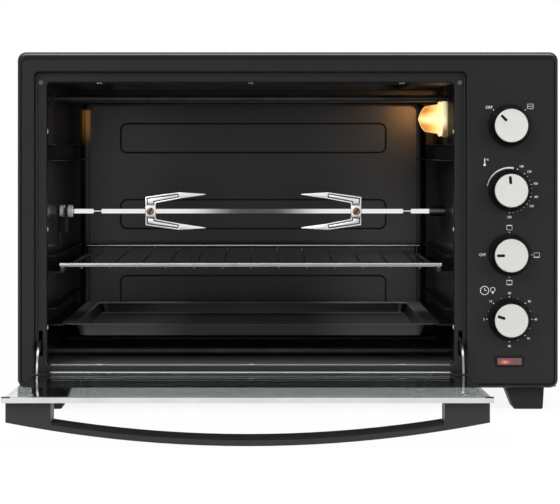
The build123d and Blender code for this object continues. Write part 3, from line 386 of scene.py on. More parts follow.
def enamel(place, look, zones=None):  # fired enamel: glassy, a little wavy, with tiny pale specks
    cloud = cloudy(place, enamelSet.cloud)
    patch = step(noise(place, enamelSet.patch), *enamelSet.patchEdge)
    speck = fall(cells(place, enamelSet.cells), *enamelSet.speckEdge) * patch
    field = look.wear(place, look) if "wear" in look else tinted(cloud, look)
    tone = blend(speck * enamelSet.speckShare, field, look.speck)
    rough = look.rough + swing(cloud, enamelSet.drift) + speck * enamelSet.speckRough
    height = noise(place, enamelSet.wave) + noise(place, enamelSet.grit, detail=1) * enamelSet.gritShare
    glow = {}
    if zones:  # soot with painted shade round the pressed panels, paler flanks, dark rounded edges of painted shade with a painted glint of the lamp
        soot, edge, pale, glint = zones(place)
        tone = blend(edge, blend(soot, blend(pale, tone, look.pale), look.soot), look.edge)
        rough = (rough + soot * enamelSet.sootRough) * (1 - edge) + edge * look.edgeRough
        height = height - soot * enamelSet.sootPress
        glow = {"glow": blend(glint, grey(0), look.glint), "power": 1}
    normal = bump(height, look.bump, enamelSet.depth)
    fired = surface(place, tone, rough, gloss=look.gloss, normal=normal, **glow)
    return mixed(edge * look.edgeDull, fired, dullCoat(place, tone)) if zones else fired


def sideWall(place, look, spot):  # side wall of the oven space, its enamel dull round a spot, the dull tone by the lamp being painted lamp light
    cloud = cloudy(place, enamelSet.cloud)
    away = reach(mapped(place, middle=spot))
    burnt = step(away, *look.collar) * fall(away, *look.burnt)
    glossy = surface(place, tinted(cloud, look), look.rough + swing(cloud, enamelSet.drift), gloss=look.gloss,
                     normal=bump(noise(place, enamelSet.wave), look.bump, enamelSet.depth))
    return mixed(burnt * look.share, glossy, dullCoat(place, look.burn))


platedSet = Kit(haze=55, hazeDrift=0.6, lineDrift=0.4, depth=0.0001)


def plated(place, look, dirt=None):  # plating with faint handling haze and drawing lines, dark with painted shade where the shade mask falls
    haze = cloudy(place, platedSet.haze)
    line = noise(mapped(place, look.get("grain", (1, 1, 1))), look.line)
    tone = tinted(haze, look)
    if dirt:
        tone = blend(dirt(place, look), tone, look.dirt)
    drift = 1 + swing(haze, platedSet.hazeDrift) + swing(line, platedSet.lineDrift)
    return surface(place, tone, look.rough * drift, metal=look.get("metal", 1),
                   normal=bump(line, look.bump, platedSet.depth))


def zincSheet(place, look):  # hot-dip sheet with its crystal spangle
    flake = along(cells(place, look.scale, out="Color"), "x")
    haze = noise(place, look.haze, detail=5, rough=0.6)
    tone = flake * look.flakeShare + haze * look.hazeShare
    return surface(place, tinted(tone, look), look.rough + flake * look.flakeRough, metal=look.metal,
                   normal=bump(flake + noise(place, look.grit) * look.gritShare, look.bump, look.depth))


mouldSet = Kit(cloud=18, drift=0.1, grainRough=0.05, depth=0.00025)


def moulded(place, look, shade=None):  # spark-eroded plastic or rubber, dull and dark with painted shade where it is shaded
    grain = cells(place, look.grain, "SMOOTH_F1")
    cloud = cloudy(place, mouldSet.cloud)
    plastic = surface(place, tinted(cloud, look),
                      look.rough + swing(cloud, mouldSet.drift) - grain * mouldSet.grainRough, gloss=look.gloss,
                      normal=bump(grain, look.bump, mouldSet.depth))
    return mixed(shade(place), plastic, dullCoat(place, look.dull)) if shade else plastic


tubeSet = Kit(scale=420, patch=28, patchEdge=(0.3, 0.7), drift=0.2, bump=0.25, depth=0.0002)


def sootyTube(place, look):  # oxidised heater tube, darker in patches
    scale = noise(place, tubeSet.scale, detail=3)
    patch = step(noise(place, tubeSet.patch, detail=5, rough=0.65), *tubeSet.patchEdge)
    return surface(place, tinted(patch, look), look.rough + swing(scale, tubeSet.drift), metal=look.metal,
                   normal=bump(scale, tubeSet.bump, tubeSet.depth))


def ceramicBody(place, look):
    chalk = noise(place, look.chalk, detail=4)
    return surface(place, tinted(cloudy(place, look.cloud), look), look.rough + swing(chalk, look.drift),
                   normal=bump(chalk, look.bump, look.depth))


def spunFace(place, look, centre):  # satin disc with fine turning rings about its own middle
    ring = place.math("SINE", reach(mapped(place, middle=centre)) * look.rings)
    tone = cloudy(place, look.haze) * look.hazeShare + ring * look.ringShare + look.base
    return surface(place, tinted(tone, look), look.rough + ring * look.ringRough, gloss=look.gloss,
                   normal=bump(ring, look.bump, look.depth))


def clearSheet(place, look):  # door glass: clear face on, mirror-like at a low angle, ground at the rear edge
    smear = noise(place, look.smear, detail=3)
    polish = surface(place, look.body, look.rough, metal=1)
    sheen = look.sheen + swing(smear, look.smearShare)
    mirror = look.face + facing(place, 0.5) ** look.power * sheen
    ground = surface(place, look.ground, look.groundRough + smear * look.groundDrift)
    edge = step(along(place, "y"), *look.edge) * look.edgeShare
    return mixed(edge, mixed(mirror, clearCoat(place, look.tint), polish), ground)


def glowGlass(place, look):  # lit lamp cover: white by the rim, brown above and below the bulb, amber behind
    tip = (look.rim - along(place, "x")) * (1 / look.length)
    rise = abs(along(place, "z") - look.height) * (1 / look.radius)
    rear = step(along(place, "y"), *look.rear)
    cut = cells(mapped(place, look.squeeze), look.cuts)
    brown = step(rise, *look.brownRise) * step(tip, *look.brownTip)
    tone = place.node("ValToRGB", {"Fac": brown + (cut - look.cutMiddle) * look.cutShare}, stops=look.stops)
    turn = facing(place, 0.4)
    tone = blend(step(turn, *look.limbEdge) * look.limbShare, tone, look.limb)
    lit = surface(place, look.body, look.rough, power=1, glow=blend(rear, tone, look.deep))
    return mixed(look.solid + turn * look.rimSolid, clearCoat(place, look.tint), lit)


def litCollar(place, look):  # pale ring behind the lamp cover, amber below: a painted glow of the bulb's light on the collar
    haze = noise(place, look.haze, detail=3)
    return surface(place, tinted(haze, look), look.rough + haze * look.drift, metal=look.metal, power=look.glow,
                   glow=blend(step(along(place, "z"), *look.fade), look.deep, look.pale))


def glowBulb(place, look):
    return surface(place, look.body, look.rough, power=look.glow,
                   glow=blend(noise(place, look.haze), look.low, look.high))


def neonLens(place, look):  # red window with a hot spot where the neon sits
    tone = place.node("ValToRGB", {"Fac": reach(mapped(place, look.squeeze, look.spot))}, stops=look.stops)
    rib = place.node("TexWave", {"Vector": place, "Scale": look.ribs}, bands_direction="X")
    return surface(place, look.base, look.rough, glow=tone, power=1, normal=bump(rib, look.bump, look.depth))


def printInk(place, look):
    wear = noise(place, look.wear, detail=3)
    return surface(place, tinted(wear, look), look.rough + swing(wear, look.drift))


def roundedDistance(x, z, half, corner):  # signed distance to the outline of a rounded rectangle
    across, up = abs(x) - (half[0] - corner), abs(z) - (half[1] - corner)
    outside = x.math("SQRT", x.math("MAXIMUM", across, 0) ** 2 + x.math("MAXIMUM", up, 0) ** 2)
    return outside + x.math("MINIMUM", x.math("MAXIMUM", across, up), 0) - corner


def fromMiddle(place, nodeName):  # x and z from the middle of a node's box, and half its width and height
    low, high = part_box(nodeName)
    x, z = along(place, "x") - (low.x + high.x) / 2, along(place, "z") - (low.z + high.z) / 2
    return x, z, ((high.x - low.x) / 2, (high.z - low.z) / 2)


borderSet = Kit(
    corner=0.009, width=0.0042, line=(0.00033, 0.0011), top=(-0.0104, -0.0096), start=(0.003, 0.0034),
    stop=(0.0078, 0.0088), shade=0.5, crest=0.0026, ridge=(0.0003, 0.0008), fade=(-0.0042, -0.003))


def frameBorder(place):  # the front panel's rolled edge: painted shade as a dark line and, along the top, a dark band; and a bright crest
    x, z, half = fromMiddle(place, "front_frame")
    inside = 0 - roundedDistance(x, z, half, borderSet.corner)
    line = fall(abs(inside - borderSet.width), *borderSet.line)
    top, crest = (step(z - half[1], *borderSet[key]) for key in ("top", "fade"))
    band = step(inside, *borderSet.start) * fall(inside, *borderSet.stop) * top * borderSet.shade
    ridge = fall(abs(inside - borderSet.crest), *borderSet.ridge) * crest
    return x.math("MAXIMUM", line * (1 - top), band), ridge


backSet = Kit(
    half=(0.1625, 0.01775), corner=0.008, pitch=0.0932, drop=0.0575, turns=4.5, line=(0.00056, 0.0016),
    flat=(0.1995, 0.1315), flatCorner=0.008, flatEdge=(-0.0008, 0.0008), brown=(0.05, 0.2), brownMiddle=-0.01,
    streak=420, streakLong=(1, 1, 0.03), streakEdge=(0.1, 0.6), glintIn=(-0.1985, -0.1995),
    glintOut=(-0.2094, -0.2082), glintLow=(0.276, 0.306), glintHigh=(0.32, 0.324))


def backZones(place):  # soot and painted shade in the line of the three panels, painted shade on the rounded edge of the pan, paler flanks, a painted glint of the lamp
    x, z, half = fromMiddle(place, "liner_back")
    folded = z - half[1] + backSet.drop + backSet.pitch * backSet.turns
    folded = x.math("FLOORED_MODULO", folded, backSet.pitch) - backSet.pitch / 2
    soot = fall(abs(roundedDistance(x, folded, backSet.half, backSet.corner)), *backSet.line)
    edge = step(roundedDistance(x, z, backSet.flat, backSet.flatCorner), *backSet.flatEdge)
    streak = noise(mapped(place, backSet.streakLong), backSet.streak, detail=1)
    side = step(x, *backSet.glintIn) * step(x, *backSet.glintOut)  # in the corner far from the lamp
    rise = along(place, "z")
    glint = edge * side * step(streak, *backSet.streakEdge) * step(rise, *backSet.glintLow) \
        * fall(rise, *backSet.glintHigh)
    return soot, edge, step(abs(x - backSet.brownMiddle), *backSet.brown), glint


rackSet = Kit(
    frontDepth=(0.0056, 0.0062), frontRise=(0.0042, 0.0047), frontShare=0.66, rearDepth=(-0.0058, -0.005),
    rearRise=(-0.0052, -0.0046))


def past(value, start, edges):  # a step whose edges are counted from a start
    return step(value, *[start + edge for edge in edges])


def rackShade(place, look):  # painted shade: only the front and the rear bar are kept bright, the rest is dark
    low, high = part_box("wire_rack")
    y, z = along(place, "y"), along(place, "z")
    frontBar = (1 - past(y, low.y, rackSet.frontDepth)) * past(z, low.z, rackSet.frontRise)
    rearBar = past(y, high.y, rackSet.rearDepth) * past(z, high.z, rackSet.rearRise)
    return 1 - place.math("MAXIMUM", frontBar * rackSet.frontShare, rearBar)


def spitRecessShade(place, look):  # painted shade behind a piece's front: a fork's channel, a thumb screw's slot and side
    return past(along(place, "y"), middleOf("spit_rod").y - look.ahead, look.grime) * look.grimeShare


traySet = Kit(
    far=(0.055, 0.125), pan=(0.0012, 0.0022), rim=(-0.0016, -0.0008), rear=(0.1, 0.2), inside=(0.022, 0.028))


def trayPaintedLight(place, look):  # painted light paler towards the ends, a painted highlight on the rim, soot with painted shade up the rear wall
    low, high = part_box("baking_tray")
    y, z = along(place, "y"), along(place, "z")
    far = step(abs(along(place, "x") - (low.x + high.x) / 2), *traySet.far)
    rear = step(y, *traySet.rear)
    pan = (1 - past(z, low.z, traySet.pan)) * past(y, low.y, traySet.inside)
    rim = past(z, high.z, traySet.rim) * rear
    walls = blend(rear, tinted(far, look), look.soot)
    return blend(rim, blend(pan, walls, blend(far, look.panLow, look.panHigh)),
                 blend(far, look.rimLow, look.rimHigh))


bowSet = Kit(rise=0.0216, band=0.008, post=0.0415, line=(0.0012, 0.0022), end=(-0.001, 0), share=0.8)


def bowShade(place):  # painted shade on the face of the bowed grip that looks at the glass
    low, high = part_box("door_handle")
    half = (high.x - low.x) / 2
    radius = (half ** 2 + bowSet.rise ** 2) / (2 * bowSet.rise)
    x, z = along(place, "x") - (low.x + high.x) / 2, along(place, "z") - (low.z + radius)
    away = abs(x.math("SQRT", x ** 2 + z ** 2) - (radius - bowSet.band))
    posts = past(abs(x), half - bowSet.post, bowSet.end)
    return fall(away, *bowSet.line) * (1 - posts) * bowSet.share


paintLook = Kit(
    low=(0.0026, 0.0028, 0.0033), high=(0.0122, 0.0124, 0.013), rough=0.42, gloss=0.22, peel=1300, bump=0.1,
    groove=grey(0.006, 0.0063), polish=0.15, coat=2.8)
# the dull tone round the lamp on the side wall is painted lamp light
sideLook = Kit(
    low=(0.012, 0.0121, 0.0125), high=(0.0165, 0.0166, 0.0172), rough=0.24, gloss=0.38, bump=0.05,
    burnt=(0.114, 0.19), collar=(0.0368, 0.046), burn=(0.02, 0.019, 0.018), share=0.9)
cornerLook = Kit(sideLook, rough=0.16, burnt=(0.252, 0.42), collar=(0.0008, 0.001), burn=grey(0.034, 0.036))
faceLook = Kit(
    low=(0.52, 0.512, 0.492), high=(0.59, 0.582, 0.56), rough=0.42, rings=9000, haze=60, hazeShare=0.7,
    ringShare=0.1, base=0.15, ringRough=0.03, gloss=0.35, bump=0.04, depth=0.00005)
inkLook = Kit(low=grey(0.6), high=grey(0.78), wear=700, rough=0.6, drift=0.2)
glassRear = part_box("door_glass")[1].y
lampLow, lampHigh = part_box("lamp_glass")
lampMid = middleOf("lamp_glass")
collarLook = Kit(
    fade=(lampMid.z - 0.016, lampMid.z - 0.002), deep=(0.16, 0.075, 0.018), pale=(0.95, 0.84, 0.48),
    low=(0.4, 0.34, 0.22), high=(0.55, 0.47, 0.32), haze=90, rough=0.35, drift=0.1, metal=0.4, glow=0.8)
lensLow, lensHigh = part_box("indicator_lens")

finishes = {  # by material slot
    "case_paint": make("case paint", satinPaint, **paintLook),
    "dark_enamel": make("black enamel", enamel, low=(0.0085, 0.0086, 0.009), high=(0.0125, 0.0126, 0.0132),
        speck=grey(0.05), rough=0.13, gloss=0.38, bump=0.04),
    "grey_enamel": make("grey enamel", enamel, backZones, low=(0.0085, 0.0088, 0.0096),
        high=(0.012, 0.0123, 0.0131), speck=grey(0.06), soot=grey(0.0012), pale=(0.095, 0.0956, 0.097),
        glint=(0.19, 0.077, 0.013), edge=grey(0.002, 0.0022), edgeRough=0.38, edgeDull=0.3, rough=0.26,
        gloss=0.34, bump=0.04),
    "galvanised": make("zinc sheet", zincSheet, low=(0.36, 0.37, 0.38), high=(0.52, 0.53, 0.54), rough=0.38,
        scale=150, haze=14, flakeShare=0.7, hazeShare=0.3, flakeRough=0.18, metal=0.85, grit=600, gritShare=0.3,
        bump=0.12, depth=0.0002),
    "chrome": make("bright plating", plated, low=(0.7, 0.705, 0.71), high=grey(0.84), rough=0.13, line=400,
        grain=(0.1, 1, 1), bump=0.03),
    "zinc_screw": make("zinc screw", plated, low=grey(0.36), high=grey(0.52), rough=0.36, line=900, bump=0.06),
    "brown_screw": make("browned steel", plated, spitRecessShade, low=(0.11, 0.066, 0.034), high=(0.3, 0.2, 0.12),
        rough=0.36, line=900, bump=0.05, metal=0.8, dirt=(0.01, 0.007, 0.005), ahead=0.0125,
        grime=(0.0009, 0.0013), grimeShare=0.9),
    "heater_tube": make("heater tube", sootyTube, low=grey(0.022), high=(0.046, 0.045, 0.044), rough=0.45,
        metal=0.55),
    "ceramic": make("ceramic", ceramicBody, low=(0.1, 0.095, 0.09), high=(0.17, 0.16, 0.15), chalk=240, cloud=20,
        rough=0.75, drift=0.2, bump=0.2, depth=0.0002),
    "door_glass": make("door glass", clearSheet, tint=(0.88, 0.93, 0.915), body=(0.92, 0.95, 0.94), rough=0.03,
        sheen=0.78, face=0.009, power=5, smear=3, smearShare=0.06, edge=(glassRear - 0.004, glassRear - 0.0025),
        edgeShare=0.9, ground=(0.045, 0.05, 0.047), groundRough=0.4, groundDrift=0.1),
    "lamp_glass": make("lamp cover glass", glowGlass, rim=lampHigh.x, length=lampHigh.x - lampLow.x,
        height=lampMid.z, radius=0.017, rear=(lampMid.y - 0.004, lampMid.y + 0.008), squeeze=(0.7, 1, 1.5),
        cuts=95, cutMiddle=0.35, cutShare=0.3, brownRise=(-0.05, 0.62), brownTip=(0.1, 0.8),
        limb=(0.85, 0.6, 0.26), limbEdge=(0.35, 0.75), limbShare=0.7, deep=(3.2, 1.2, 0.18),
        body=(0.3, 0.2, 0.08), rough=0.1, tint=(1, 0.82, 0.5), solid=0.9, rimSolid=0.08,
        stops=[(0, (1, 0.98, 0.62)), (0.35, (0.95, 0.7, 0.24)), (0.7, (0.6, 0.3, 0.06)),
            (1, (0.33, 0.135, 0.014))]),
    "lamp_bulb": make("lit bulb", glowBulb, low=(1, 0.8, 0.4), high=(1, 0.9, 0.6), glow=2.5, body=(1, 0.9, 0.6),
        rough=0.2, haze=120),
    "bright_trim": make("satin trim", plated, low=grey(0.62, 0.61), high=grey(0.72, 0.71), rough=0.34, line=1500,
        grain=(0.03, 1, 1), bump=0.06),
    "black_plastic": make("black plastic", moulded, low=grey(0.006, 0.0064), high=grey(0.0092, 0.0096),
        rough=0.44, gloss=0.24, grain=1900, bump=0.18),
    "grey_rubber": make("buffer rubber", moulded, low=grey(0.055, 0.06), high=grey(0.075, 0.08), rough=0.7,
        gloss=0.3, grain=1500, bump=0.2),
    "foot_rubber": make("foot rubber", moulded, low=grey(0.004, 0.0044), high=grey(0.0068, 0.0072), rough=0.62,
        gloss=0.26, grain=900, bump=0.3),
    "red_lens": make("neon lens", neonLens,
        spot=(lensLow.x + 0.008, lensLow.y, (lensLow.z + lensHigh.z) / 2 - 0.0006), squeeze=(85, 85, 210),
        base=(0.1, 0.044, 0.043), rough=0.25, ribs=260, bump=0.15, depth=0.0002,
        stops=[(0, (1, 0.42, 0.24)), (0.16, (0.7, 0.12, 0.06)), (0.5, (0.1, 0.018, 0.016)),
            (1, (0.03, 0.013, 0.013))]),
    "switch_body": make("switch body", moulded, low=grey(0.06), high=grey(0.09), rough=0.55, gloss=0.4,
        grain=1200, bump=0.2),
    "shaft_steel": make("turned steel", plated, low=grey(0.3, 0.31), high=grey(0.42), rough=0.3, line=900,
        bump=0.05),
}
knobPlastic = make("knob plastic", moulded, low=grey(0.0016, 0.0017), high=grey(0.0026, 0.0027), rough=0.36,
    gloss=0.14, grain=1900, bump=0.12)
rivetSteel = make("rivet steel", plated, low=grey(0.6), high=grey(0.74), rough=0.35, line=900, bump=0.05,
    metal=0.4)
forkSteel = make("fork steel", plated, spitRecessShade, low=grey(0.66, 0.65), high=grey(0.82, 0.81), rough=0.34,
    line=800, grain=(1, 0.2, 1), bump=0.06, dirt=grey(0.016), ahead=0.0015, grime=(0.0004, 0.0009),
    grimeShare=0.93)
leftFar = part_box("liner_left_wall")[1]
special = {  # by node
    "baking_tray": make("tray enamel", enamel, wear=trayPaintedLight, low=grey(0.0025, 0.0027), high=grey(0.042, 0.043),
        speck=grey(0.06), soot=grey(0.002, 0.0021), panLow=grey(0.03, 0.031), panHigh=grey(0.125, 0.128),
        rimLow=grey(0.05, 0.051), rimHigh=grey(0.32, 0.325), rough=0.34, gloss=0.34, bump=0.05),
    "liner_floor": make("floor enamel", enamel, low=grey(0.15, 0.151), high=grey(0.19, 0.191), speck=grey(0.18),
        rough=0.32, gloss=0.55, bump=0.05),
    "liner_roof": make("roof enamel", enamel, low=grey(0.03, 0.0306), high=grey(0.038, 0.0388), speck=grey(0.06),
        rough=0.36, gloss=0.16, bump=0.05),
    "shelf_rails": make("rail enamel", enamel, low=(0.0045, 0.0046, 0.005), high=(0.0075, 0.0076, 0.0082),
        speck=grey(0.03), rough=0.42, gloss=0.22, bump=0.05),
    "liner_right_wall": make("lamp wall enamel", sideWall, (lampHigh.x, lampMid.y, lampMid.z), **sideLook),
    "liner_left_wall": make("left wall enamel", sideWall, (leftFar.x, leftFar.y, lampMid.z), **cornerLook),
    "door_handle": make("handle plastic", moulded, bowShade, low=(0.0135, 0.0138, 0.0142),
        high=(0.0175, 0.0178, 0.0182), rough=0.48, gloss=0.32, grain=1500, bump=0.22, dull=grey(0.008, 0.0084)),
    "indicator_body": make("bezel plastic", moulded, low=grey(0.0022, 0.0023), high=grey(0.0036, 0.0037),
        rough=0.3, gloss=0.2, grain=1900, bump=0.08),
    "spit_bush": make("cast bush", plated, low=(0.82, 0.8, 0.74), high=(0.93, 0.91, 0.85), rough=0.42, line=800,
        grain=(1, 0.2, 0.2), bump=0.06, metal=0.1),
    "wire_rack": make("rack plating", plated, rackShade, low=grey(0.46, 0.45), high=grey(0.6, 0.59), rough=0.24,
        line=600, grain=(0.1, 0.1, 1), bump=0.03, dirt=grey(0.035, 0.036)),
    "hinge_arms": make("arm plating", plated, low=grey(0.22), high=grey(0.34), rough=0.24, line=600,
        grain=(1, 0.1, 0.1), bump=0.03),
    "drive_socket": make("socket steel", plated, low=grey(0.01), high=(0.36, 0.355, 0.35), rough=0.32, line=500,
        grain=(1, 0.2, 0.2), bump=0.1),
    "spit_rod": make("spit plating", plated, low=(0.78, 0.785, 0.79), high=grey(0.86), rough=0.045, line=300,
        grain=(0.05, 1, 1), bump=0),
    "lower_elements": make("lower heater tube", sootyTube, low=grey(0.1), high=(0.17, 0.168, 0.165), rough=0.42,
        metal=0.25),
    "front_frame": make("panel paint", satinPaint, frameBorder, **paintLook),
}
for part in frame["record"]["subparts"]:
    look = special.get(part["node"]) or finishes.get(part["material_slot"])
    if look:
        nodes[part["node"]].data.materials.clear()
        nodes[part["node"]].data.materials.append(look)
print("finishes given to the CAD nodes")

# outlines are (mm ahead of the panel, radius), pointers are degrees clockwise from straight up
knobSet = Kit(
    names=("rotisserie", "thermostat", "function", "timer"), pointers=(-45, -6, -90, -72),
    body=((1, 21.2), (1.7, 22), (7, 22), (8, 21.3), (8.1, 20.6), (8.9, 20.4), (20.6, 18.9), (21.6, 18.4),
        (22, 17.8), (21.9, 17.45), (21.3, 17.4)),
    face=((21.3, 17.3), (22.3, 17.3), (22.8, 17), (23, 16.4), (22.92, 15.7), (22.84, 15.3), (22.86, 9),
        (22.9, 0.4)), barReach=11, barLength=8.2, barWidth=2.9, barTop=23.15, barDepth=1, barRound=1,
    barSoft=0.15)


def knobSpot(name):
    middle = middleOf(name + "_knob")
    return Vector((middle.x, front, middle.z))


def clockWay(degrees):
    return Vector((math.sin(math.radians(degrees)), 0, math.cos(math.radians(degrees))))


for name, angle in zip(knobSet.names, knobSet.pointers):
    spot = knobSpot(name)
    body = turned(name + "Knob", spot, ahead, knobSet.body)
    dress(body, knobPlastic, name + "_control", "black_plastic", name + "_knob")
    face = turned(name + "Face", spot, ahead, knobSet.face)
    dress(face, make(name + " face", spunFace, spot, **faceLook), name + "_control", "silver_plastic",
          name + "_knob_cap")
    place = spot + clockWay(angle) * knobSet.barReach * mm
    place.y -= (knobSet.barTop - knobSet.barDepth / 2) * mm
    bar = boxAt(name + "Pointer", place, (knobSet.barWidth, knobSet.barDepth, knobSet.barLength),
                (0, math.radians(angle), 0))
    edit(bar)
    pick("EDGE", lambda e: abs((e.verts[0].co - e.verts[1].co).normalized().y) > 0.9)
    bpy.ops.mesh.bevel(offset=knobSet.barRound * mm, segments=5, affect="EDGES")  # round ends
    done()
    softEdges(bar, knobSet.barSoft, 2)
    dress(bar, knobPlastic, name + "_control", "black_plastic")
print("knobs turned")

markSet = Kit(
    ink=0.06, dot=0.62, minor=0.38, letter=3.7, bold=0.05, ring=23.6, line=0.42, sliver=0.002, heavy=2.2,
    light=0.8, heavyWide=0.74)
dialSet = {  # dots by degrees from straight up; words, oven boxes, bars and rings by mm from the shaft
    "rotisserie": {"dot": (-45, 45), "word": (("OFF", -21.3, 19.2, 1.12),), "box": ((22, 20.4, 6.4, 5.2, 0, 0),),
                   "bar": ((22, 20.4, 4.2, 0.35), (20.6, 20.4, 0.4, 1.6), (23.4, 20.4, 0.4, 1.6))},
    "thermostat": {"dot": (21, 42, 75, 107, 128, 180), "minor": (53, 64, 85, 97, 118, 140, 150, 159, 170),
                   "word": (("100", 12.7, 25), ("120", 20.7, 19.5), ("150", 27.4, 6.9), ("180", 27.9, -7),
                            ("200", 23.4, -16.6), ("230", 0, -28.2), ("°C", -23.1, 32, 0.72)),
                   "bar": ((-25.9, 30.6, 0.9, 5.8),), "ring": ((-25.9, 26.6, 1.3, 1.3, 20),)},  # thermometer
    "function": {"dot": (0, 90, 180), "word": (("OFF", -28.2, -0.2, 1.12),),
                 "box": ((0, 28.6, 6, 5.3, 1, 0), (28.6, -0.4, 6, 5.3, 0, 1), (0, -29.1, 6, 5.3, 1, 1))},
    "timer": {"dot": (-90, -45, 0, 45, 90, 136, 180), "minor": (-69, -22, 22, 69, 113.5, 157.5),
              "word": (("5", -26.8, -0.2), ("10", -19.8, 18.8), ("20", 0, 27.3), ("30", 20.8, 18.7),
                       ("40", 27.6, -0.2), ("50", 20, -20.2), ("60", 0, -28.2)),
              "bar": ((-26, 31.5, 0.65, 2.9), (-24.9, 30.2, 2.3, 0.65), (-17.4, 27.7, 1.9, 1.6)),
              "ring": ((-26, 30.2, 4.7, 0.65, 40), (-17.4, 31.2, 2.6, 0.55))},  # clock and bulb
}
marks = []


def thicken(piece):
    edit(piece)
    pull((0, -markSet.ink * mm, 0))
    cleanForm()
    marks.append(piece)


def inkSheet(spot, x, z, width, height):
    thicken(sheetAt("mark", spot + Vector((x, 0, z)) * mm, width, height))


def inkRing(spot, x, z, outer, width, sides=28):  # a dot when the width reaches the middle
    piece = discAt("mark", spot + Vector((x, 0, z)) * mm, outer, sides)
    if width < outer:
        edit(piece)
        bpy.ops.mesh.inset(thickness=width * mm)
        bpy.ops.mesh.delete(type="FACE")
        done()
    thicken(piece)


def inkText(spot, words, x, z, size=0.86):
    clearSelection()
    bpy.ops.object.text_add(location=spot + Vector((x, -markSet.ink / 2, z)) * mm,
                            rotation=(math.pi / 2, 0, 0))
    text = bpy.context.object.data
    text.body, text.size = words, markSet.letter * size * mm
    text.align_x, text.align_y = "CENTER", "CENTER"
    text.extrude, text.offset, text.resolution_u = markSet.ink / 2 * mm, markSet.bold * mm, 4
    bpy.ops.object.convert(target="MESH")
    letters = settle(bpy.context.object, "mark")
    edit(letters)
    bpy.ops.mesh.dissolve_degenerate(threshold=markSet.sliver * mm)  # slivers left by the bolder outline
    cleanForm()
    marks.append(letters)


def inkBox(spot, x, z, width, height, top, bottom):  # oven icon: two sides, bars above and below
    line = markSet.line
    for side in (-1, 1):
        inkSheet(spot, x + side * (width - line) / 2, z, line, height)
    for side, heavy in ((1, top), (-1, bottom)):
        thick = line * markSet["heavy" if heavy else "light"]
        inkSheet(spot, x, z + side * (height - thick) / 2, width * (markSet.heavyWide if heavy else 1), thick)


for name, dial in dialSet.items():
    spot = knobSpot(name)
    for size in ("dot", "minor"):
        for degrees in dial.get(size, ()):
            way = clockWay(degrees) * markSet.ring
            inkRing(spot, way.x, way.z, markSet[size], markSet[size], 12)
    for kind, draw in (("word", inkText), ("box", inkBox), ("bar", inkSheet), ("ring", inkRing)):
        for numbers in dial.get(kind, ()):
            draw(spot, *numbers)

arcSet = Kit(start=-79, sweep=90, thin=0.5, thick=2, steps=30, flat=0.01, weld=0.05)
spot = knobSpot("thermostat")  # its swelling arc
arc = sheetAt("mark", spot + clockWay(arcSet.start) * markSet.ring * mm, arcSet.thin, arcSet.flat)
edit(arc)
bpy.ops.mesh.remove_doubles(threshold=arcSet.weld * mm)  # leaves the two ends of one short edge
pickAll()
bpy.ops.mesh.spin(steps=arcSet.steps, angle=math.radians(arcSet.sweep), center=spot, axis=(0, 1, 0))
form = bmesh.from_edit_mesh(arc.data)
for vert in form.verts:
    lean = math.degrees(math.atan2(vert.co.x - spot.x, vert.co.z - spot.z))
    share = min(abs(lean - arcSet.start) / arcSet.sweep, 1)
    grow = (arcSet.thin + (arcSet.thick - arcSet.thin) * share) / 2
    outside = (vert.co - spot).length > markSet.ring * mm
    angle = arcSet.start + share * arcSet.sweep
    vert.co = spot + clockWay(angle) * (markSet.ring + (grow if outside else -grow)) * mm
bmesh.update_edit_mesh(arc.data)
done()
thicken(arc)
dress(joinAll(marks, "panelMarks"), make("white print", printInk, **inkLook), "oven", "silver_plastic")
print("panel printed")

# pairs of points along the upper tine, outer edge and inner edge, from the back of the fork
forkSet = Kit(
    pairs=(((0, 2.75), (11.8, 2.75)), ((0, 5.6), (11.8, 5.6)), ((0, 16), (11.8, 9)), ((38, 21.3), (40.2, 14.3)),
        ((67.6, 19.4), (68, 18.5))), plate=3, rim=1.5, moat=1.25, press=1.4, channel=0.8, hub=13, base=11.8,
    hole=5.3, tineSoft=0.3, hubSoft=0.7)


def forkStrip(pairs):  # one tine as a flat strip: a plane, then its end edge pulled on from pair to pair
    points = [[Vector((x * mm, 0, z * mm)) for x, z in pair] for pair in pairs]
    strip = sheetAt("tine", (0, 0, 0), 1, 1)
    edit(strip)
    form = bmesh.from_edit_mesh(strip.data)
    for vert, place in zip(sorted(form.verts, key=lambda v: (v.co.z, v.co.x)), points[0] + points[1]):
        vert.co = place
    bmesh.update_edit_mesh(strip.data)
    for last, following in zip(points[1:], points[2:]):
        middle = (last[0] + last[1]) / 2
        pick("EDGE", lambda e: ((e.verts[0].co + e.verts[1].co) / 2 - middle).length < 1e-5)
        shift = (following[0] + following[1]) / 2 - middle
        pull(shift)
        form = bmesh.from_edit_mesh(strip.data)
        chosen = sorted((v for v in form.verts if v.select), key=lambda v: (v.co - last[0] - shift).length)
        for vert, place in zip(chosen, following):
            vert.co = place
        bmesh.update_edit_mesh(strip.data)
    start, stop = points[1][0].z, points[3][0].x * forkSet.channel
    pick("FACE", lambda f: start < f.calc_center_median().z and f.calc_center_median().x < stop)
    bpy.ops.mesh.inset(thickness=forkSet.rim * mm, use_boundary=True)
    pull((0, forkSet.press * mm, 0))  # the pressed channel, with a rib left standing in it
    bpy.ops.mesh.inset(thickness=forkSet.moat * mm, use_boundary=True)
    pull((0, -forkSet.press * mm, 0))
    pickAll()
    pull((0, forkSet.plate * mm, 0))
    cleanForm()
    softEdges(strip, forkSet.tineSoft, 2, 30)
    return strip


tine = forkStrip(forkSet.pairs)
hub = sheetAt("hub", (0, forkSet.plate / 2 * mm, 0), forkSet.hub, forkSet.hub, (0, math.pi / 2, 0))
edit(hub)
bpy.ops.mesh.inset(thickness=(forkSet.hub - forkSet.hole) / 2 * mm)
bpy.ops.mesh.delete(type="FACE")
pickAll()
pull((forkSet.base * mm, 0, 0))
cleanForm()
softEdges(hub, forkSet.hubSoft)
lowerTine = copyOf(tine, "lowerTine", (0, 0, 0), scale=(1, 1, -1))
pattern = joinAll([tine, lowerTine, hub], "forkPattern")

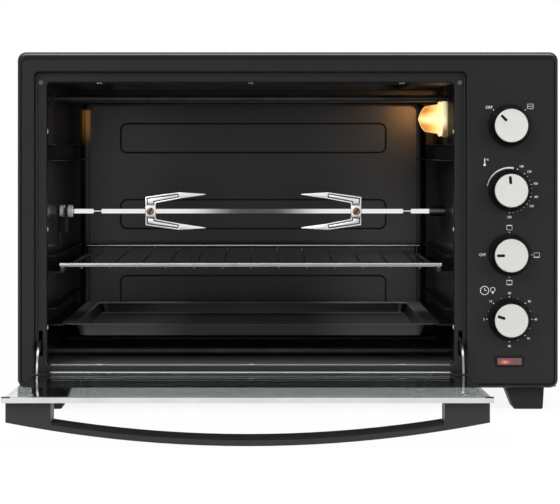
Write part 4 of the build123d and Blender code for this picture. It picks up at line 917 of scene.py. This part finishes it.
thumbSet = Kit(
    stem=((-4, 1.9), (0.2, 1.9), (0.3, 2.6)), top=6,
    head=((0.3, 3.3), (0.7, 4.1), (5.2, 4.1), (5.7, 3.8), (6, 3.1), (5.85, 1.6), (5.8, 0.2)), knurls=36,
    knurl=(0.08, 0.25), knurlArea=2e-6, slot=(1.7, 4.4, 12), lean=(28, 38))
spitMid = middleOf("spit_rod")
for side, name, lean in ((1, "left", thumbSet.lean[0]), (-1, "right", thumbSet.lean[1])):
    low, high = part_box(name + "_fork")
    start = Vector((low.x if side > 0 else high.x, spitMid.y - forkSet.plate / 2 * mm, spitMid.z))
    fork = copyOf(pattern, name + "Fork", start, scale=(side, 1, 1))
    dress(fork, forkSteel, name + "_fork", "chrome", name + "_fork")
    seat = Vector((middleOf(name + "_fork_screw").x, spitMid.y - forkSet.hub / 2 * mm, spitMid.z))
    head = turned(name + "Thumb", seat, ahead, thumbSet.head, thumbSet.knurls)
    edit(head)
    pick("FACE", lambda f: abs(f.normal.y) < 0.1 and f.calc_area() > thumbSet.knurlArea and
         int(math.degrees(math.atan2(f.normal.x, f.normal.z)) // (360 / thumbSet.knurls)) % 2 == 0)
    wide, deep = thumbSet.knurl
    bpy.ops.mesh.inset(thickness=wide * mm, depth=-deep * mm, use_individual=True)
    done()
    cutWith(head, boxAt("slot", seat + Vector(ahead) * thumbSet.top * mm, thumbSet.slot,
                        (0, math.radians(lean), 0)))
    stem = turned(name + "Stem", seat, ahead, thumbSet.stem, 24)
    screw = joinAll([head, stem], name + "Screw")
    smooth(screw)
    dress(screw, finishes["brown_screw"], name + "_fork_screw", "brown_screw", name + "_fork_screw")
bpy.data.objects.remove(pattern)
print("forks and thumb screws made")

domeSet = Kit(
    flange=((3.9, 18.4), (4.4, 19.3), (5.8, 19.7), (7.2, 19.4), (8.1, 18.4), (8.3, 17)),
    cone=(8.3, 16.9, 20.6, 14.7), length=30.4, ribs=6, rise=0.25, coneSteps=24, tipSteps=16, tipPower=1.8,
    tipLeast=0.15, seat=1.5)
coneStart, coneWide, coneEnd, coneSlim = domeSet.cone
rings = list(domeSet.flange)
for i in range(1, domeSet.coneSteps + 1):  # tapered body with shallow ribs
    share = i / domeSet.coneSteps
    wave = domeSet.rise * (math.cos(share * domeSet.ribs * 2 * math.pi) - 1)
    rings.append((coneStart + (coneEnd - coneStart) * share, coneWide + (coneSlim - coneWide) * share + wave))
for i in range(1, domeSet.tipSteps + 1):  # bullet tip
    lean = i / domeSet.tipSteps * math.pi / 2
    rings.append((coneEnd + (domeSet.length - coneEnd) * math.sin(lean),
                  max(coneSlim * math.cos(lean) ** domeSet.tipPower, domeSet.tipLeast)))
dome = turned("lampDome", (lampHigh.x + domeSet.seat * mm, lampMid.y, lampMid.z), (-1, 0, 0), rings, 64)
dress(dome, finishes["lamp_glass"], "oven", "lamp_glass", "lamp_glass")

collarSet = Kit(rings=((0, 17.2), (3.4, 17.2), (3.6, 17.6), (3.6, 19.3), (3.3, 20), (0.5, 20.8), (0, 20.9)))
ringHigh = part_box("lamp_ring")[1]
collar = turned("lampCollar", (ringHigh.x, lampMid.y, lampMid.z), (-1, 0, 0), collarSet.rings, 64)
edit(collar)
pick("FACE", lambda f: len(f.verts) > 8)  # the two end discs go, the ring is closed instead
bpy.ops.mesh.delete(type="FACE")
pick("EDGE", lambda e: e.is_boundary)
bpy.ops.mesh.bridge_edge_loops()
cleanForm()
smooth(collar)
ringSlot = next(part["material_slot"] for part in frame["record"]["subparts"] if part["node"] == "lamp_ring")
dress(collar, make("lit collar", litCollar, **collarLook), "oven", ringSlot, "lamp_ring")

screwSet = Kit(
    rings=((-8, 1), (-7.2, 1.8), (0, 1.8), (0, 4), (0.5, 4), (1.2, 3.6), (1.8, 2.8), (2.15, 1.6), (2.2, 0.2)),
    top=2.2, cross=(4.4, 0.9, 1.3))
pan = turned("panScrew", (0, 0, 0), (0, 1, 0), screwSet.rings, 40)  # pan head with a cross recess
long, wide, deep = screwSet.cross
for size in ((long, deep * 2, wide), (wide, deep * 2, long)):
    cutWith(pan, boxAt("recess", (0, screwSet.top * mm, 0), size))
smooth(pan)
quarter = math.pi / 2


def screwsFrom(nodeName, name, body, pickSign, steel):  # a pan screw where the CAD has a plain one
    made = []
    for low, high in looseBoxes(nodeName):
        size, head = high - low, (low + high) / 2
        axis = max(range(3), key=lambda i: size[i])
        sign = pickSign(axis, head)
        head[axis] = (high[axis] if sign > 0 else low[axis]) - sign * screwSet.top * mm
        turn = ((0, 0, -sign * quarter), (0, 0, 0), (sign * quarter, 0, 0))[axis]
        made.append(copyOf(pan, name, head, turn))
    return dress(joinAll(made, name), steel, body, "zinc_screw", nodeName)


screwsFrom("case_screws", "caseScrews", "oven",
           lambda axis, middle: (1 if middle.x > 0 else -1) if axis == 0 else 1 if axis == 1 else -1,
           finishes["zinc_screw"])
screwsFrom("handle_screws", "handleScrews", "door", lambda axis, middle: 1, special["drive_socket"])
bpy.data.objects.remove(pan)

# the tail is counted from the end of the rivet
rivetSet = Kit(
    tail=((0.9, 1.6), (1.1, 2.4), (1.8, 2.6), (1.8, 1.5)), shank=1.5, rise=0.9,
    head=((0, 2.6), (0.2, 2.6), (0.6, 2.1), (0.85, 1.3), (0.9, 1.05), (0.55, 0.9), (0.5, 0.1)))
floorLow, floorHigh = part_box("liner_floor")
roofLow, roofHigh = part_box("liner_roof")
openMid = Vector(((roofLow.x + roofHigh.x) / 2, 0, (floorHigh.z + roofLow.z) / 2))
rivets = []
for low, high in looseBoxes("frame_rivets"):
    size, seat, way = high - low, (low + high) / 2, [0, 0, 0]
    axis = 0 if size.x > size.z else 2
    sign = 1 if seat[axis] < openMid[axis] else -1  # the round head looks into the opening
    rings = [(inset - size[axis] / mm, radius) for inset, radius in rivetSet.tail]
    rings += [(0, rivetSet.shank), *rivetSet.head]
    seat[axis] = (high[axis] if sign > 0 else low[axis]) - sign * rivetSet.rise * mm
    way[axis] = sign
    rivets.append(turned("rivet", seat, way, rings, 24))
dress(joinAll(rivets, "frameRivets"), rivetSteel, "oven", "zinc_screw", "frame_rivets")

# pale strip on the sill, standing as a painted highlight along the lip's edge
sillSet = Kit(front=10.2, deep=7, thick=0.2, short=15, lean=2, lift=1.2, rim=0.5, roll=0.05, soft=0.05)
sill = boxAt("sillStrip", ((floorLow.x + floorHigh.x) / 2, front + (sillSet.front + sillSet.deep / 2) * mm,
                           floorHigh.z + sillSet.lift * mm),
             ((floorHigh.x - floorLow.x) / mm - sillSet.short, sillSet.deep, sillSet.thick),
             (math.radians(sillSet.lean), 0, 0))
edit(sill)
pick("FACE", lambda f: f.normal.z > 0.9)
bpy.ops.mesh.inset(thickness=sillSet.rim * mm, depth=sillSet.roll * mm)
done()
softEdges(sill, sillSet.soft, 2)
dress(sill, rivetSteel, "oven", "zinc_screw")
print("lamp dome, screws, rivets and sill edge made")


def lightPaths(place):  # mirror rays, and all rays that show a thing as it is seen
    camera, mirror, through = (place.node("LightPath", out="Is " + word + " Ray")
                               for word in ("Camera", "Glossy", "Transmission"))
    return mirror, place.math("MAXIMUM", place.math("MAXIMUM", camera, mirror), through)


def stand(name, data, place, turn):
    made = bpy.data.objects.new(name, data)
    bpy.context.scene.collection.objects.link(made)
    made.location, made.rotation_euler = place, turn
    return made


def aimed(way):
    return Vector(way).to_track_quat("-Z", "Y").to_euler()


def paleFloor(place, look):  # white to the eye, a little shaded under the oven
    seen = lightPaths(place)[1]
    under = fall(abs(along(place, "x")), *look.halfX) * fall(abs(along(place, "y") - look.midY), *look.halfY)
    plain = place.node("Emission", {"Color": rgb(grey(1)), "Strength": 1})
    return mixed(seen * look.share * (1 - under * look.shade), dullCoat(place, grey(look.tone)), plain)


floorSet = Kit(size=9, tone=0.9, share=0.97, halfX=(0.235, 0.315), midY=0.15, halfY=(0.165, 0.245), shade=0.09)
clearSelection()
bpy.ops.mesh.primitive_plane_add(size=floorSet.size, location=(0, 0, 0))
floor = bpy.context.object
floor.name = "floor"
floor.data.materials.append(make("pale floor", paleFloor, **floorSet))

skySet = Kit(ambient=0.42, gapX=-0.006, gap=(0.01, 0.03), side=(0.5, 0.6), dark=0.92)
world = bpy.data.worlds.new("studio")
bpy.context.scene.world = world
world.use_nodes = True
world.node_tree.nodes.clear()
sky = Wire(world.node_tree).node("TexCoord", out="Generated")
mirror, seen = lightPaths(sky)
lensGap = fall(abs(along(sky, "x") - skySet.gapX), *skySet.gap) * step(0 - along(sky, "y"), *skySet.side)
glow = skySet.ambient + seen * (1 - skySet.ambient) - mirror * lensGap * skySet.dark  # dark camera side
sky.node("OutputWorld", {"Surface": sky.node("Background", {"Color": rgb(grey(1)), "Strength": glow})})

softboxes = {  # place, aim, width, height, power
    "key": ((-1.5, -2.6, 1.7), (0, 0.1, 0.2), 1.6, 1.6, 60),
    "fill": ((1.9, -2.3, 1.1), (0, 0.1, 0.2), 1.2, 1.6, 26),
    "top": ((0, -0.2, 2.4), (0, 0.1, 0.3), 1.8, 1, 22),
}
for name, (place, aim, width, height, power) in softboxes.items():
    light = bpy.data.lights.new(name, "AREA")
    light.shape = "RECTANGLE"
    light.size, light.size_y, light.energy = width, height, power
    stand(name, light, place, aimed(Vector(aim) - Vector(place)))

glowSet = Kit(
    power=2.2, tone=(1, 0.5, 0.16), soft=0.012, spread=105, blend=0.3, inset=0.02, up=0.009,
    way=(-0.55, 0.8, 0.25))
bulb = bpy.data.lights.new("ovenLamp", "SPOT")  # the lit bulb, as the enamel behind it mirrors it
bulb.energy, bulb.color, bulb.shadow_soft_size = glowSet.power, glowSet.tone, glowSet.soft
bulb.spot_size, bulb.spot_blend = math.radians(glowSet.spread), glowSet.blend
glowSpot = stand("ovenLamp", bulb, (lampLow.x + glowSet.inset, lampMid.y, lampMid.z + glowSet.up),
                 aimed(glowSet.way))
glowSpot.visible_diffuse = False

shot = Kit(x=-0.0187, away=2.415, z=0.2735, lens=147.9, sensor=36, shiftX=0.0179, shiftY=-0.182)
camera = stand("camera", bpy.data.cameras.new("camera"), (shot.x, front - shot.away, shot.z),
               (math.pi / 2, 0, 0))
camera.data.lens, camera.data.sensor_width = shot.lens, shot.sensor
camera.data.shift_x, camera.data.shift_y = shot.shiftX, shot.shiftY
bpy.context.scene.camera = camera
bpy.context.scene.view_settings.view_transform = "Standard"
print("stage, lights and camera set")
